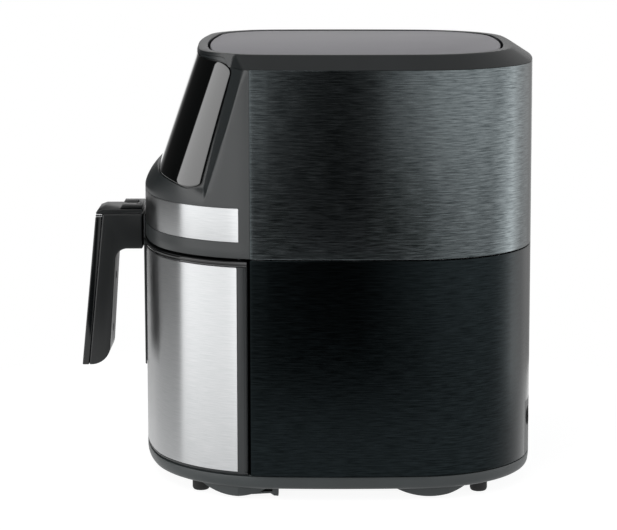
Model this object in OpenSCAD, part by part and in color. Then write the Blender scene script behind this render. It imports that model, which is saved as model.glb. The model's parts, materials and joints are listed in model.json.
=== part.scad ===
// Drawer air fryer: a dark brushed body with bowed sides, a leaning control face that wraps
// round the front corners, and a pull-out drawer that holds a pan, a basket and the handle.
// Millimetres, +Z up, front towards -Y. The origin is on the floor, in the middle of the
// whole object's length, handle included.

/* [Body] */
// Width across the bowed sides
body_w = 280; // [260:1:310]
// Depth from the front bow to the back bow, without the handle
body_d = 300; // [285:1:330]
// Height from the floor to the top rim
body_h = 330; // [322:1:350]
// Radius of the bowed sides in plan
side_bow_r = 900; // [700:10:1200]
// Radius of the front bow in plan
front_bow_r = 235; // [215:5:300]
// Radius of the front corners in plan
front_corner_r = 100; // [80:1:110]
// Radius of the back bow in plan
back_bow_r = 480; // [380:10:600]
// Radius of the back corners in plan
back_corner_r = 90; // [70:1:100]
// Wall of the moulded housings
wall = 2.5; // [2:0.1:3]
// Thickness of the brushed sheet wraps
sheet = 1.5; // [1:0.1:2]
// Gap at the seams between housings
seam = 0.8; // [0.4:0.1:1.2]

/* [Heights] */
// Height of the feet
foot_h = 9.5; // [8:0.5:12]
// Height of the base moulding
base_h = 10; // [8:0.5:14]
// Height of the lower half, from the base moulding to the waist seam
lower_h = 161.5; // [150:0.5:170]
// Height of the chamfer round the top
rim_h = 10; // [8:0.5:11]
// How far the top chamfer leans in
rim_in = 15.5; // [12:0.5:17]

/* [Control face] */
// Lean of the control face from upright, in degrees
face_lean = 18.5; // [15:0.5:20]
// Radius of the control face's bow in plan
face_bow_r = 600; // [450:10:800]
// Radius of the control face's corners in plan
face_corner_r = 55; // [45:1:65]
// Height of the shoulder's start above the waist seam
shoulder_up = 40; // [36:1:44]
// Height of the shoulder at the body's sides
shoulder_h = 10; // [8:0.5:12]
// How far the shoulder brings the face in at the front
shoulder_in = 9.7; // [8:0.1:12]
// Half-width of the glossy panel
panel_half_w = 116.4; // [112:0.2:117]
// Thickness of the glossy panel
panel_t = 2; // [1.6:0.1:2.4]
// Gap round the glossy panel
panel_gap = 1; // [0.6:0.1:1.4]
// Height of the steel band
band_h = 25; // [20:0.5:27]
// Height of the steel band's lower edge above the waist seam
band_up = 12; // [10:0.5:13]
// Thickness of the steel band and of the drawer's steel skin
skin_t = 1.2; // [0.8:0.1:1.6]

/* [Drawer] */
// How far behind the front the housing's front parts end at the sides
front_part_d = 86; // [80:1:90]
// Clearance between the pan and the chamber liner
pan_gap = 2.5; // [2:0.1:4]
// Thickness of the pan and basket sheet
pan_t = 1.4; // [1.2:0.1:2]
// Height of the drawer's glossy lip
lip_h = 4.5; // [3.5:0.5:6]
// How far the drawer's lip stands out
lip_out = 1.5; // [0.8:0.1:2]
// Diameter of the holes in the basket mesh
mesh_hole_d = 9; // [6:0.5:10]
// Spacing of the holes in the basket mesh
mesh_pitch = 22; // [18:1:28]

/* [Handle] */
// How far the handle reaches in front of the body
handle_reach = 50; // [46:1:56]
// Width of the handle
handle_w = 42; // [38:1:46]
// Height of the handle's foot above the floor
handle_foot_z = 78; // [70:1:95]
// Height of the arm above the drawer's top edge
arm_up = 21; // [19:0.5:24]
// Depth of the arm from top to bottom
arm_h = 31; // [28:0.5:34]
// Thickness of the grip, front to back
grip_t = 22; // [20:0.5:25]
// Thickness of the glossy strip on the grip's front
strip_t = 5.2; // [4:0.2:6]
// Travel of the button cover
cover_travel = 12; // [9:0.5:12.5]
// Travel of the release button and of the latch bolt
button_travel = 3; // [2:0.5:3]

/* [Heater and fan] */
// Inner radius of the heater dish
dish_r = 104; // [98:1:106]
// Depth of the heater dish
dish_h = 43; // [40:1:48]
// Radius of the heating element's tube
element_tube_r = 3.2; // [2.8:0.1:3.6]
// Radius of the heating element's outer loop
element_r = 92; // [90:1:94]
// Spacing of the heating element's loops
element_pitch = 14; // [12:0.5:15]
// Radius of the hot-air fan
fan_r = 68; // [60:1:70]
// Height of the hot-air fan's blades
fan_h = 15; // [12:0.5:17]
// Number of blades on the hot-air fan
fan_blades = 10; // [6:1:14]
// Radius of the motor shaft
shaft_r = 3; // [2.5:0.1:4]
// Width of the motor's square core
motor_w = 56; // [50:1:62]
// Height of the motor's core
motor_h = 28; // [24:1:32]
// Radius of the cooling fan
cooling_fan_r = 36; // [30:1:40]
// Radius of the cord inlet's bore
inlet_bore_r = 4; // [3.5:0.1:5]

/* [Hidden] */
$fn = 64;

// Fits
touch = 0.2;            // working clearance between pieces that are seated on each other
running = 0.05;         // radial clearance of a shaft in its bearing
slide_gap = 0.3;        // clearance of a sliding piece over its runner
far = 1000;             // longer than anything in the model

// Places in plan
front_y = -body_d/2;
back_y = body_d/2;
seam_y = front_y + front_part_d;

// Heights
base_top = foot_h + base_h;
waist_z = base_top + lower_h;
upper_z = waist_z + seam;
rim_z = body_h - rim_h;
face_top = body_h - 2.7;
shoulder_z = waist_z + shoulder_up;
shoulder_top = shoulder_z + shoulder_h;
lip_top = waist_z - 1;
lip_z = lip_top - lip_h;
ledge_w = 13.5;         // inward ledge that carries the liner, at the waist
ledge_top = upper_z + wall;
liner_t = 1;
shroud_t = 1.2;
flange_z = ledge_top + liner_t;
fascia_wall = wall + panel_t;
dish_top = flange_z + dish_h;

// Insets of the nested outlines, from the body's outline
liner_in = 16.5;
pan_in = liner_in + liner_t + pan_gap;
pan_base_z = base_top + 6.5;
pan_top = lip_top - 16;
pan_rim = 1;            // how far the pan's rim stands out
basket_in = pan_in + 3;
basket_base_z = pan_base_z + 12;
basket_top = pan_top + 4;
pan_taper = 5;

// --- Plan outlines: four bows joined by corner arcs that touch them from inside ---

SIDE_STEPS = 3;
CORNER_STEPS = 8;
END_STEPS = 4;

function polar(r, angle) = r * [cos(angle), sin(angle)];

function corner_centre(side_c, end_c, ds, de) =
    let (gap = norm(end_c - side_c),
         u = (end_c - side_c) / gap,
         along = (ds*ds - de*de + gap*gap) / (2*gap),
         off = sqrt(ds*ds - along*along))
    side_c + along * u + off * [-u.y, u.x];

// A quarter of an outline, from the side's middle [a, 0] to the end's middle [0, b]
function quarter(a, b, side_r, end_r, corner_r) =
    let (side_c = [a - side_r, 0],
         end_c = [0, b - end_r],
         c = corner_centre(side_c, end_c, side_r - corner_r, end_r - corner_r),
         a1 = atan2(c.y - side_c.y, c.x - side_c.x),
         a2 = atan2(c.y - end_c.y, c.x - end_c.x))
    concat(
        [for (i = [0:SIDE_STEPS - 1]) side_c + polar(side_r, a1*i/SIDE_STEPS)],
        [for (i = [0:CORNER_STEPS - 1]) c + polar(corner_r, a1 + (a2 - a1)*i/CORNER_STEPS)],
        [for (i = [0:END_STEPS]) end_c + polar(end_r, a2 + (90 - a2)*i/END_STEPS)]);

function joined(back, front) =
    let (n = len(back) - 1)
    concat(
        back,
        [for (i = [n - 1:-1:0]) [-back[i].x, back[i].y]],
        [for (i = [1:n]) [-front[i].x, -front[i].y]],
        [for (i = [n - 1:-1:1]) [front[i].x, -front[i].y]]);

function back_quarter(inset) =
    quarter(body_w/2 - inset, back_y - inset, side_bow_r - inset, back_bow_r - inset,
        back_corner_r - inset);

// The body's outline, moved in by inset
function outline(inset = 0) =
    joined(back_quarter(inset),
        quarter(body_w/2 - inset, -front_y - inset, side_bow_r - inset, front_bow_r - inset,
            front_corner_r - inset));

// How far the front bow, moved in by inset, falls back at x from the middle
function bow_drop(x, inset) = front_bow_r - inset - sqrt(pow(front_bow_r - inset, 2) - x*x);

// How far the control face stands in front of the middle at height z
function face_reach(z) = -front_y - shoulder_in - (z - shoulder_top) * tan(face_lean);

// The control face's outline at height z, moved in by inset
function face_outline(z, inset = 0) =
    joined(back_quarter(rim_in + inset),
        quarter(body_w/2 - rim_in - inset, face_reach(z) - inset, side_bow_r - rim_in - inset,
            face_bow_r - inset, face_corner_r - inset));

function at_height(points, z) = [for (p = points) [p.x, p.y, z]];

// Outline of the shoulder between the body's outline (t = 0) and the control face (t = 1).
// Its upper edge is level in the leaning face's own frame, so it rises towards the front.
function mixed(p, q, w) = p + (q - p) * w;
function mixed_r(r, s, w) = 1 / mixed(1/r, 1/s, w);

function shoulder_ring(t, inset = 0) =
    let (w = pow(t, 1.7),
         in = mixed(0, rim_in, w) + inset,
         low = joined(
             quarter(body_w/2 - in, back_y - in, side_bow_r - in, back_bow_r - in,
                 back_corner_r - in),
             quarter(body_w/2 - in, mixed(-front_y, face_reach(shoulder_top), w) - inset,
                 side_bow_r - in, mixed_r(front_bow_r, face_bow_r, w) - inset,
                 mixed(front_corner_r, face_corner_r, w) - inset)),
         rise = tan(face_lean),
         hip_y = face_reach(shoulder_top) - face_corner_r*0.65)
    [for (p = low)
        let (up = w * max(0, rise * (-p.y - hip_y)) / (1 + rise*rise))
        [p.x, p.y + rise * up * w, shoulder_z + shoulder_h*t + up]];

// Solid through a stack of rings with equal numbers of points
module loft(rings) {
    n = len(rings[0]);
    m = len(rings);
    points = [for (r = rings) each r];
    bottom = [for (i = [0:n - 1]) i];
    top = [for (i = [n - 1:-1:0]) (m - 1)*n + i];
    sides = [for (j = [0:m - 2]) for (i = [0:n - 1])
        [j*n + i, (j + 1)*n + i, (j + 1)*n + (i + 1) % n, j*n + (i + 1) % n]];
    polyhedron(points, concat([bottom], sides, [top]), convexity = 6);
}

// --- Helpers ---

// Moves a piece from the body's own centre to the object's origin
module place() {
    translate([0, handle_reach/2, 0]) children();
}

module slab(z0, z1) {
    translate([0, 0, z0]) linear_extrude(z1 - z0) children();
}

// Upright wall between two insets of the body's outline
module ring_wall(z0, z1, outer, inner) {
    slab(z0, z1) difference() {
        polygon(outline(outer));
        polygon(outline(inner));
    }
}

module ring_solid(z0, z1, inset) {
    slab(z0, z1) polygon(outline(inset));
}

module box(low, high) {
    translate(low) cube(high - low);
}

// Everything in front of, or behind, the plane y
module in_front(y) {
    box([-far, -far, -far], [far, y, far]);
}

module behind(y) {
    box([-far, y, -far], [far, far, far]);
}

module both_sides() {
    children();
    mirror([1, 0, 0]) children();
}

// Extrudes a [y, z] drawing to both sides of the middle
module across(half) {
    rotate([90, 0, 90]) translate([0, 0, -half]) linear_extrude(2*half) children();
}

module rounded(size, r) {
    hull() for (x = [-1, 1], y = [-1, 1])
        translate([x*(size.x/2 - r), y*(size.y/2 - r)]) circle(r, $fn = 32);
}

// --- Base ---

FEET = [[100, -103], [103, 106]];   // right-hand feet, from the body's centre
foot_r = 6.5;
screw_r = 3.4;
SCREWS = [[60, -118], [112, 20], [70, 118]];
pad_drop = 6;                       // how far the underside's pads hang below the base
pad_x = [108, 129];
PADS = [[-91, 38], [61, 32]];       // middle and length of the right-hand pads
clip_y = [-63, -46];
clip_x = 122;

module base_pad(middle, length) {
    r = (length*length/4 + pad_drop*pad_drop) / (2*pad_drop);
    intersection() {
        translate([pad_x[0], middle, foot_h - pad_drop + r]) rotate([0, 90, 0])
            cylinder(pad_x[1] - pad_x[0], r, r);
        ring_solid(0, foot_h + 1, 5);
    }
}

module base_clip() {
    box([clip_x - 5, clip_y[0], foot_h - 5], [clip_x + 3, clip_y[0] + 2, foot_h + 1]);
    box([clip_x - 5, clip_y[1] - 2, foot_h - 7], [clip_x + 3, clip_y[1], foot_h + 1]);
    box([clip_x - 5, clip_y[0], foot_h - 2], [clip_x + 3, clip_y[1], foot_h + 1]);
}

module base_tray() {
    color("#4b4f50") place() difference() {
        union() {
            difference() {
                loft([at_height(outline(4), foot_h), at_height(outline(1.6), foot_h + 1),
                    at_height(outline(0.4), foot_h + 3), at_height(outline(0), foot_h + 5.5),
                    at_height(outline(0), base_top)]);
                ring_solid(foot_h + wall, base_top + 1, 6);
            }
            both_sides() {
                for (p = PADS) base_pad(p[0], p[1]);
                base_clip();
                for (s = SCREWS) translate([s.x, s.y, foot_h + 1])
                    cylinder(base_h - wall - 1, 6, 6);
            }
        }
        both_sides() for (s = SCREWS) translate([s.x, s.y, foot_h - 1])
            cylinder(base_h + 2, screw_r + touch, screw_r + touch);
        for (i = [-4:4]) box([-45, i*12 - 2, foot_h - 1], [45, i*12 + 2, foot_h + wall + 1]);
    }
}

// Floor of the drawer bay, seated inside the base moulding's rim
module base_deck() {
    color("#2a2d2f") place() difference() {
        ring_solid(base_top - wall, base_top, 6 + touch);
        both_sides() for (s = SCREWS) translate([s.x, s.y, foot_h]) cylinder(base_h + 1, 2, 2);
    }
}

module rubber_feet() {
    color("#17191a") place() both_sides() for (f = FEET) translate([f.x, f.y, 0])
        rotate_extrude() polygon([[0, 0], [foot_r - 1.5, 0], [foot_r, 2.2], [foot_r, foot_h],
            [0, foot_h]]);
}

module base_screws() {
    color("#8d9194") place() both_sides() for (s = SCREWS) translate([s.x, s.y, foot_h + 0.4])
        difference() {
            union() {
                cylinder(2.2, screw_r, screw_r);
                cylinder(base_h - 0.6, 1.8, 1.8);
            }
            translate([0, 0, -1]) cylinder(2, 1.5, 1.5, $fn = 6);
        }
}

// --- Wraps ---

vent_half_w = 48;
vent_room = rim_z - dish_top;
vent_z = [dish_top + vent_room*0.24, dish_top + vent_room*0.72];
vent_edge = 6;          // rim of the vent round its slats
inlet_x = 62;
inlet_z = base_top + 28;
inlet_neck_r = inlet_bore_r + 3.2;
notch_half = 14;        // the wrap's notch for the plate that holds the cord inlet
notch_top = inlet_z + notch_half;
plate_lap = 3;          // how far that plate laps behind the wrap

module inlet_axis() {
    translate([inlet_x, back_y, inlet_z]) rotate([-90, 0, 0]) children();
}

module lower_wrap() {
    color("#24282a") place() difference() {
        intersection() {
            union() {
                ring_wall(base_top, waist_z, 0, sheet);
                ring_wall(base_top, base_top + sheet, 0, liner_in + 4);
            }
            behind(seam_y);
        }
        inlet_notch(0, base_top - 1, notch_top);
    }
}

// Upright slot through the back at the cord inlet, wider by grow on each side
module inlet_notch(grow, low, high) {
    box([inlet_x - notch_half - grow, 0, low], [inlet_x + notch_half + grow, far, high]);
}

// Plate that closes the wrap's notch and holds the cord inlet, with a lip behind the wrap
module inlet_plate() {
    color("#1e2122") place() difference() {
        union() {
            intersection() {
                ring_wall(base_top + touch, notch_top, 0, sheet + touch + wall/2);
                inlet_notch(-touch, base_top, notch_top - touch);
            }
            intersection() {
                ring_wall(base_top + 2*sheet, notch_top + plate_lap, sheet + touch, sheet + touch + wall/2);
                inlet_notch(plate_lap, base_top, far);
            }
        }
        inlet_axis() translate([0, 0, -body_d/4])
            cylinder(body_d/2, inlet_neck_r + touch, inlet_neck_r + touch);
    }
}

module upper_wrap() {
    color("#3a3f41") place() difference() {
        intersection() {
            union() {
                ring_wall(upper_z, rim_z, 0, sheet);
                ring_wall(upper_z, ledge_top, 0, ledge_w);
            }
            behind(seam_y);
        }
        box([-vent_half_w, 0, vent_z[0]], [vent_half_w, far, vent_z[1]]);
    }
}

module rear_vent() {
    slat = 5.5;
    slats = floor((vent_z[1] - vent_z[0] - vent_edge - 2) / slat);
    color("#1c1f20") place() difference() {
        intersection() {
            ring_wall(vent_z[0] + touch, vent_z[1] - touch, 0, wall);
            box([touch - vent_half_w, 0, 0], [vent_half_w - touch, far, far]);
        }
        for (i = [0:slats - 1])
            box([-vent_half_w + vent_edge, 0, vent_z[0] + vent_edge - 1 + i*slat],
                [vent_half_w - vent_edge, far, vent_z[0] + vent_edge + 1.5 + i*slat]);
    }
}

// Bush that a power cord passes through: a neck in the wrap with a collar on each side
module cord_inlet() {
    color("#141617") place() inlet_axis() rotate_extrude() polygon([
        [inlet_bore_r, -14], [inlet_neck_r + 2, -14], [inlet_neck_r + 2, -9.4],
        [inlet_neck_r, -9.4], [inlet_neck_r, 0], [inlet_bore_r + 2, 0], [inlet_bore_r, -1.5]]);
}

// --- Leaning front ---

edge_turn = 63.4;       // turn of the leaning edge's chamfer in plan, in degrees
edge_lean = 12.4;       // lean of that chamfer, in degrees
edge_at = [body_w/2 - 4, seam_y - 3.9, rim_z];

edge_run = 6.5;         // how far the chamfer runs forward from the top edge
hip_lean = 15.4;        // lean of the chamfer's inner edge, in degrees

// What the chamfer beside the control face cuts away, moved in by inset
module edge_cut(inset = 0) {
    both_sides() translate(edge_at) rotate([0, -edge_lean, -edge_turn])
        box([-inset, -far/2, -far/2], [far/2, far/2, far/2]);
    translate([0, edge_at.y - edge_run + inset, edge_at.z]) rotate([-hip_lean, 0, 0])
        box([-far/2, -far/2, -far/2], [far/2, 0, far/2]);
}

// The leaning front as a full solid, moved in by inset and ending at face_end
module front_mass(face_end, side_end, inset = 0) {
    difference() {
        ring_solid(upper_z - 1, side_end, inset);
        edge_cut(inset);
    }
    loft(concat([at_height(outline(inset), upper_z - 1)],
        [for (i = [0:4]) shoulder_ring(i/4, inset)],
        [at_height(face_outline(face_end, inset), face_end)]));
}

// Puts a drawing on the leaning face: x across, y up the slope, z outwards
module on_face() {
    translate([0, -face_reach(shoulder_top), shoulder_top]) rotate([90 - face_lean, 0, 0])
        children();
}

panel_foot = 13.5;      // up the slope, where the panel starts at the middle of the face
panel_head = 1.6;       // how far the panel stays below the face's top
panel_corner_r = 7;
face_mid_z = (face_top + shoulder_top)/2;

// How far the control face falls back at x from its middle, halfway up
function face_fall(x) =
    let (side_r = side_bow_r - rim_in, reach = face_reach(face_mid_z),
        c = corner_centre([body_w/2 - rim_in - side_r, 0], [0, reach - face_bow_r],
            side_r - face_corner_r, face_bow_r - face_corner_r))
    reach - c.y - sqrt(pow(face_corner_r, 2) - pow(x - c.x, 2));

// Cuts the glossy panel out of the face's thickness, wider by grow all round. It ends where the
// face has turned back past the panel's edge, so that the moulding behind stays whole.
module panel_window(grow) {
    height = (face_top - panel_head - shoulder_top) / cos(face_lean) - panel_foot;
    back = face_fall(panel_half_w) * cos(face_lean) + grow;
    on_face() translate([0, panel_foot + height/2, -back]) linear_extrude(back + 10*panel_t)
        rounded([2*(panel_half_w + grow), height + 2*grow], panel_corner_r + grow);
}

module face_layer(outer, inner) {
    intersection() {
        difference() {
            loft([at_height(face_outline(shoulder_top - 6, outer), shoulder_top - 6),
                at_height(face_outline(face_top + 2, outer), face_top + 2)]);
            loft([at_height(face_outline(shoulder_top - 8, inner), shoulder_top - 8),
                at_height(face_outline(face_top + 4, inner), face_top + 4)]);
        }
        in_front(seam_y);
    }
}

module front_fascia() {
    color("#45494b") place() difference() {
        intersection() {
            front_mass(face_top, rim_z);
            in_front(seam_y - touch);
            box([-far, -far, upper_z], [far, far, far]);
        }
        intersection() {
            front_mass(face_top + 1, rim_z + 1, fascia_wall);
            box([-far, -far, ledge_top], [far, far, far]);
        }
        ring_solid(upper_z - 2, ledge_top + 1, ledge_w);
        intersection() {
            ring_wall(upper_z + band_up - touch, upper_z + band_up + band_h + touch, -1, skin_t + 0.1);
            in_front(seam_y - 8.5 + touch);
        }
        intersection() {
            face_layer(-3, panel_t + 0.2);
            panel_window(panel_gap);
        }
    }
}

module trim_band() {
    color("#c9cbcc") place() intersection() {
        ring_wall(upper_z + band_up, upper_z + band_up + band_h, 0, skin_t);
        in_front(seam_y - 8.5);
    }
}

module control_panel() {
    color("#0b0c0d") place() intersection() {
        face_layer(0, panel_t);
        panel_window(0);
    }
}

board_t = 1.6;
board_w = 110;
board_up = 58;
board_in = fascia_wall + (board_w/2)*(board_w/2)/(2*face_bow_r) + 0.6;
module control_board() {
    color("#2f6b3c") place() on_face() translate([-board_w/2, 30, -board_in - board_t]) {
        difference() {
            cube([board_w, board_up, board_t]);
            for (x = [5, board_w - 5], y = [5, board_up - 5])
                translate([x, y, -1]) cylinder(4, 1.6, 1.6);
        }
        for (i = [0:4]) translate([board_w/2 + (i - 2)*17, 12, board_t]) cylinder(1, 4, 4);
        translate([35, 34, -4]) cube([40, 14, 4]);
    }
}

// --- Top ---

land_w = 7;             // level land round the top panel
top_gap = 2;
panel_drop = 0.4;       // how far the top panel lies below the rim

module top_cover() {
    panel_bed = face_top - 3.5;
    color("#3d4143") place() difference() {
        union() {
            difference() {
                loft([at_height(outline(0), rim_z + touch),
                    at_height(outline(rim_in), body_h)]);
                edge_cut();
            }
            loft([at_height(face_outline(rim_z, 0), rim_z + touch),
                at_height(face_outline(body_h, 0), body_h)]);
        }
        intersection() {
            front_mass(face_top + touch, rim_z, -0.1);
            in_front(seam_y);
        }
        slab(rim_z - 1, panel_bed - wall) polygon(face_outline(body_h, wall));
        slab(panel_bed, body_h + 1) polygon(face_outline(body_h, land_w));
        for (i = [-5:5]) translate([i*13, 20, panel_bed - wall - 1])
            linear_extrude(wall + 2) square([5, 90], center = true);
    }
}

module top_panel() {
    low = face_top - 3.5;
    color("#8a8890") place()
        slab(low, body_h - panel_drop) polygon(face_outline(body_h, land_w + top_gap));
}

// --- Drawer bay ---

// U-shaped outline of the bay: the body's back outline with straight sides to the front
module bay_shape(inset) {
    union() {
        intersection() {
            polygon(outline(inset));
            translate([-far/2, 0]) square([far, far]);
        }
        translate([-body_w/2 + inset, seam_y]) square([body_w - 2*inset, -seam_y + 0.01]);
    }
}

module chamber_liner() {
    color("#9a9d9f") place() difference() {
        union() {
            slab(base_top + sheet, flange_z) bay_shape(liner_in);
            slab(ledge_top, flange_z) bay_shape(ledge_w - 3);
        }
        slab(base_top + sheet + liner_t, flange_z + 1) bay_shape(liner_in + liner_t);
        box([-far, seam_y - 1, base_top + sheet + liner_t],
            [far, seam_y + 0.5, ledge_top - touch]);
    }
}

rail_x = 78;
rail_w = 10;
module drawer_rails() {
    color("#303335") place() both_sides()
        box([rail_x - rail_w/2, seam_y + 8, base_top + sheet + liner_t],
            [rail_x + rail_w/2, back_y - 40, pan_base_z - slide_gap]);
}

switch_x = [14.5, 29];  // the switch in the housing stands over the magnet in the drawer
module reed_switch() {
    color("#e6e2d6") place()
        box([switch_x[0], front_y + fascia_wall + bow_drop(switch_x[1], fascia_wall) + touch,
            ledge_top],
            [switch_x[1], front_y + shroud_in - touch, ledge_top + 5]);
}

// --- Heater ---

shroud_in = ledge_w - 4;
probe_angle = 128;
probe_z = flange_z + 23;
module heat_shroud() {
    color("#b9bcbe") place() difference() {
        shroud_form();
        rotate([0, 0, probe_angle]) translate([dish_r - 5, 0, probe_z]) rotate([0, 90, 0])
            cylinder(12, 2 + touch, 2 + touch);
    }
}

module shroud_form() {
    slab(flange_z, flange_z + shroud_t) difference() {
        polygon(outline(shroud_in));
        circle(dish_r);
    }
    translate([0, 0, flange_z]) rotate_extrude() polygon([
        [dish_r, 0], [dish_r + shroud_t, 0], [dish_r + shroud_t, dish_h - 14],
        [dish_r - 14 + shroud_t, dish_h], [shaft_r + 3, dish_h],
        [shaft_r + 3, dish_h - shroud_t], [dish_r - 14.5, dish_h - shroud_t],
        [dish_r, dish_h - 14.6]]);
}

element_z = flange_z + 11;
loop_open = 14;         // half of the angle that the element's loops leave open, in degrees

// Route of the element's tube in plan: loops that turn back on each other, from the outside in
LOOP_STEPS = 36;
RETURN_STEPS = 6;
function loop_arc(r, from, to) =
    [for (i = [0:LOOP_STEPS]) polar(r, from + (to - from)*i/LOOP_STEPS)];
function loop_return(r, angle, way) =
    [for (i = [1:RETURN_STEPS - 1]) polar(r - element_pitch/2, angle)
        + polar(element_pitch/2, angle + way*180*i/RETURN_STEPS)];

// Tube of radius r along a level route at height z
function tube_rings(route, r, z, sides = 8) =
    [for (i = [0:len(route) - 1])
        let (step = route[min(i + 1, len(route) - 1)] - route[max(i - 1, 0)],
             side = [-step.y, step.x] / norm(step))
        [for (k = [0:sides - 1]) let (a = 360*k/sides)
            [route[i].x + r*cos(a)*side.x, route[i].y + r*cos(a)*side.y, z + r*sin(a)]]];

module heating_element() {
    r1 = element_r;
    r2 = element_r - element_pitch;
    start = loop_open;
    end = 360 - loop_open;
    route = concat(loop_arc(r1, start, end), loop_return(r1, end, 1), loop_arc(r2, end, start));
    riser_r = element_tube_r + 0.8;
    color("#6f6a66") place() translate([0, 0, element_z]) {
        loft(tube_rings(route, element_tube_r, 0));
        for (e = [polar(r1, start), polar(r2, start)]) translate([e.x, e.y, -riser_r])
            cylinder(riser_r + riser_h(norm(e)), riser_r, riser_r);
    }
}

// How far the terminals rise above the loops: to just under the dish, which slopes at its rim
function riser_h(r) = flange_z + dish_h - shroud_t - touch - element_z
    - max(0, r + element_tube_r + 1 - (dish_r - 14.5));

clip_t = 1.6;
element_gap = 0.5;      // room for the element's tube in its clips
module element_clips() {
    r_in = element_r - element_pitch - element_tube_r - 2;
    r_out = dish_r - 0.3;
    low = element_z - element_tube_r - clip_t;
    notch_r = element_tube_r + element_gap;
    color("#a4a7a9") place() for (a = [60, 180, 300]) rotate([0, 0, a]) difference() {
        box([r_in, -4, low], [r_out, 4, element_z + 1]);
        for (r = [element_r, element_r - element_pitch]) {
            translate([r, -5, element_z]) rotate([-90, 0, 0]) cylinder(10, notch_r, notch_r);
            box([r - notch_r, -5, element_z], [r + notch_r, 5, element_z + 2]);
        }
    }
}

guard_w = 2.4;
guard_t = 1.2;
module element_guard() {
    rim_r = dish_r + 5;
    rings = [24, 38, 52, 66, 80, 94, rim_r];
    color("#c2c4c6") place() translate([0, 0, flange_z - guard_t - touch]) union() {
        for (r = rings) difference() {
            cylinder(guard_t, r, r);
            translate([0, 0, -1]) cylinder(guard_t + 2, r - guard_w, r - guard_w);
        }
        for (a = [0:30:150]) rotate([0, 0, a])
            box([1 - rim_r, -guard_w/2, 0], [rim_r - 1, guard_w/2, guard_t]);
    }
}

// --- Fan and motor ---

fan_z = element_z + 9.5;
bracket_z = dish_top + wall + 8;
core_z = bracket_z + 2;
core_top = core_z + motor_h;
bearing_h = 5;
bearing_r = 8;
shaft_top = core_top + bearing_h + 22;

frame_in = 18;          // how far the frame's edge stays inside the body
power_x = [-body_w/2 + frame_in + 12, -body_w/2 + frame_in + 70];
power_post_x = [power_x[0] + 6, power_x[1] - 6];

module mid_frame() {
    plate_z = dish_top;
    color("#2a2d2e") place() difference() {
        union() {
            slab(plate_z, plate_z + wall) polygon(outline(frame_in));
            for (x = [-1, 1], y = [-1, 1]) translate([x*46, y*20, plate_z])
                cylinder(wall + 8, 5, 5);
            for (x = power_post_x, y = [-40, 40]) translate([x, y, plate_z])
                cylinder(wall + 6, 3.5, 3.5);
        }
        translate([0, 0, plate_z - 1]) cylinder(wall + 2, 24, 24);
        for (x = [-1, 1], y = [-1, 1]) translate([x*46, y*20, plate_z - 1])
            cylinder(wall + 12, 1.6, 1.6);
        translate([cutout_at.x, cutout_at.y, plate_z - 1]) cylinder(wall + 2, 14, 14);
        for (a = [-50:20:50]) rotate([0, 0, a]) translate([0, 88, plate_z - 1])
            cylinder(wall + 2, 7, 7);
    }
}

module motor_bracket() {
    color("#b4b7b9") place() difference() {
        union() {
            slab(bracket_z, core_z) rounded([110, 56], 6);
            translate([0, 0, bracket_z - bearing_h - 0.5]) cylinder(bearing_h + 1, 11, 11);
        }
        translate([0, 0, bracket_z - bearing_h - 1]) cylinder(bearing_h + 1, bearing_r, bearing_r);
        translate([0, 0, bracket_z - 1]) cylinder(4, shaft_r + 1, shaft_r + 1);
        for (x = [-1, 1], y = [-1, 1]) translate([x*46, y*20, bracket_z - 1])
            cylinder(4, 1.8, 1.8);
    }
}

module motor_stator() {
    cap_r = motor_w/2 - 4;
    color("#77736c") place() difference() {
        union() {
            slab(core_z, core_top) rounded([motor_w, motor_w*0.86], 4);
            translate([0, 0, core_top]) cylinder(bearing_h, 11, 11);
            both_sides() translate([cap_r*0.5, -cap_r, core_z + 4]) cube([cap_r*0.4, 2*cap_r, motor_h + 1]);
        }
        translate([0, 0, core_z - 1]) cylinder(motor_h + 3, shaft_r + 1, shaft_r + 1);
        translate([0, 0, core_top + 0.5]) cylinder(bearing_h, bearing_r, bearing_r);
    }
}

module motor_bearings() {
    color("#b08d4f") place() for (z = [bracket_z - bearing_h, core_top + 0.5])
        translate([0, 0, z]) difference() {
            cylinder(bearing_h - 0.5, bearing_r - 0.02, bearing_r - 0.02);
            translate([0, 0, -1]) cylinder(bearing_h + 2, shaft_r + running, shaft_r + running);
        }
}

module motor_screws() {
    color("#8d9194") place() for (x = [-1, 1], y = [-1, 1]) translate([x*46, y*20, 0]) {
        translate([0, 0, core_z]) cylinder(2.2, 3.2, 3.2);
        translate([0, 0, dish_top + 3]) cylinder(core_z - dish_top - 2, 1.5, 1.5);
    }
}

module motor_shaft() {
    color("#d2d4d6") place() translate([0, 0, fan_z - 4]) cylinder(shaft_top - fan_z + 4, shaft_r, shaft_r);
}

// Upright blade of a fan, from its hub outwards
module blade(r_in, r_out, h) {
    translate([r_in, -0.7, 0]) cube([r_out - r_in, 1.4, h]);
}

module hot_fan() {
    color("#a9acae") place() translate([0, 0, fan_z]) difference() {
        union() {
            translate([0, 0, fan_h]) cylinder(1.4, fan_r, fan_r);
            cylinder(fan_h + 3, 10, 10);
            for (i = [0:fan_blades - 1]) rotate([0, 0, i*360/fan_blades]) translate([0, -8, 0])
                blade(9, fan_r - 2, fan_h + 0.5);
        }
        translate([0, 0, -1]) cylinder(fan_h + 5, shaft_r + running, shaft_r + running);
    }
}

module cooling_fan() {
    blades = 7;
    color("#e3e0d8") place() translate([0, 0, shaft_top - 14]) difference() {
        union() {
            cylinder(12, 9, 9);
            for (i = [0:blades - 1]) rotate([0, 0, i*360/blades]) rotate([28, 0, 0])
                translate([6, -8, 4.5]) cube([cooling_fan_r - 6, 16, 1.4]);
        }
        translate([0, 0, -1]) cylinder(14, shaft_r + running, shaft_r + running);
    }
}

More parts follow.
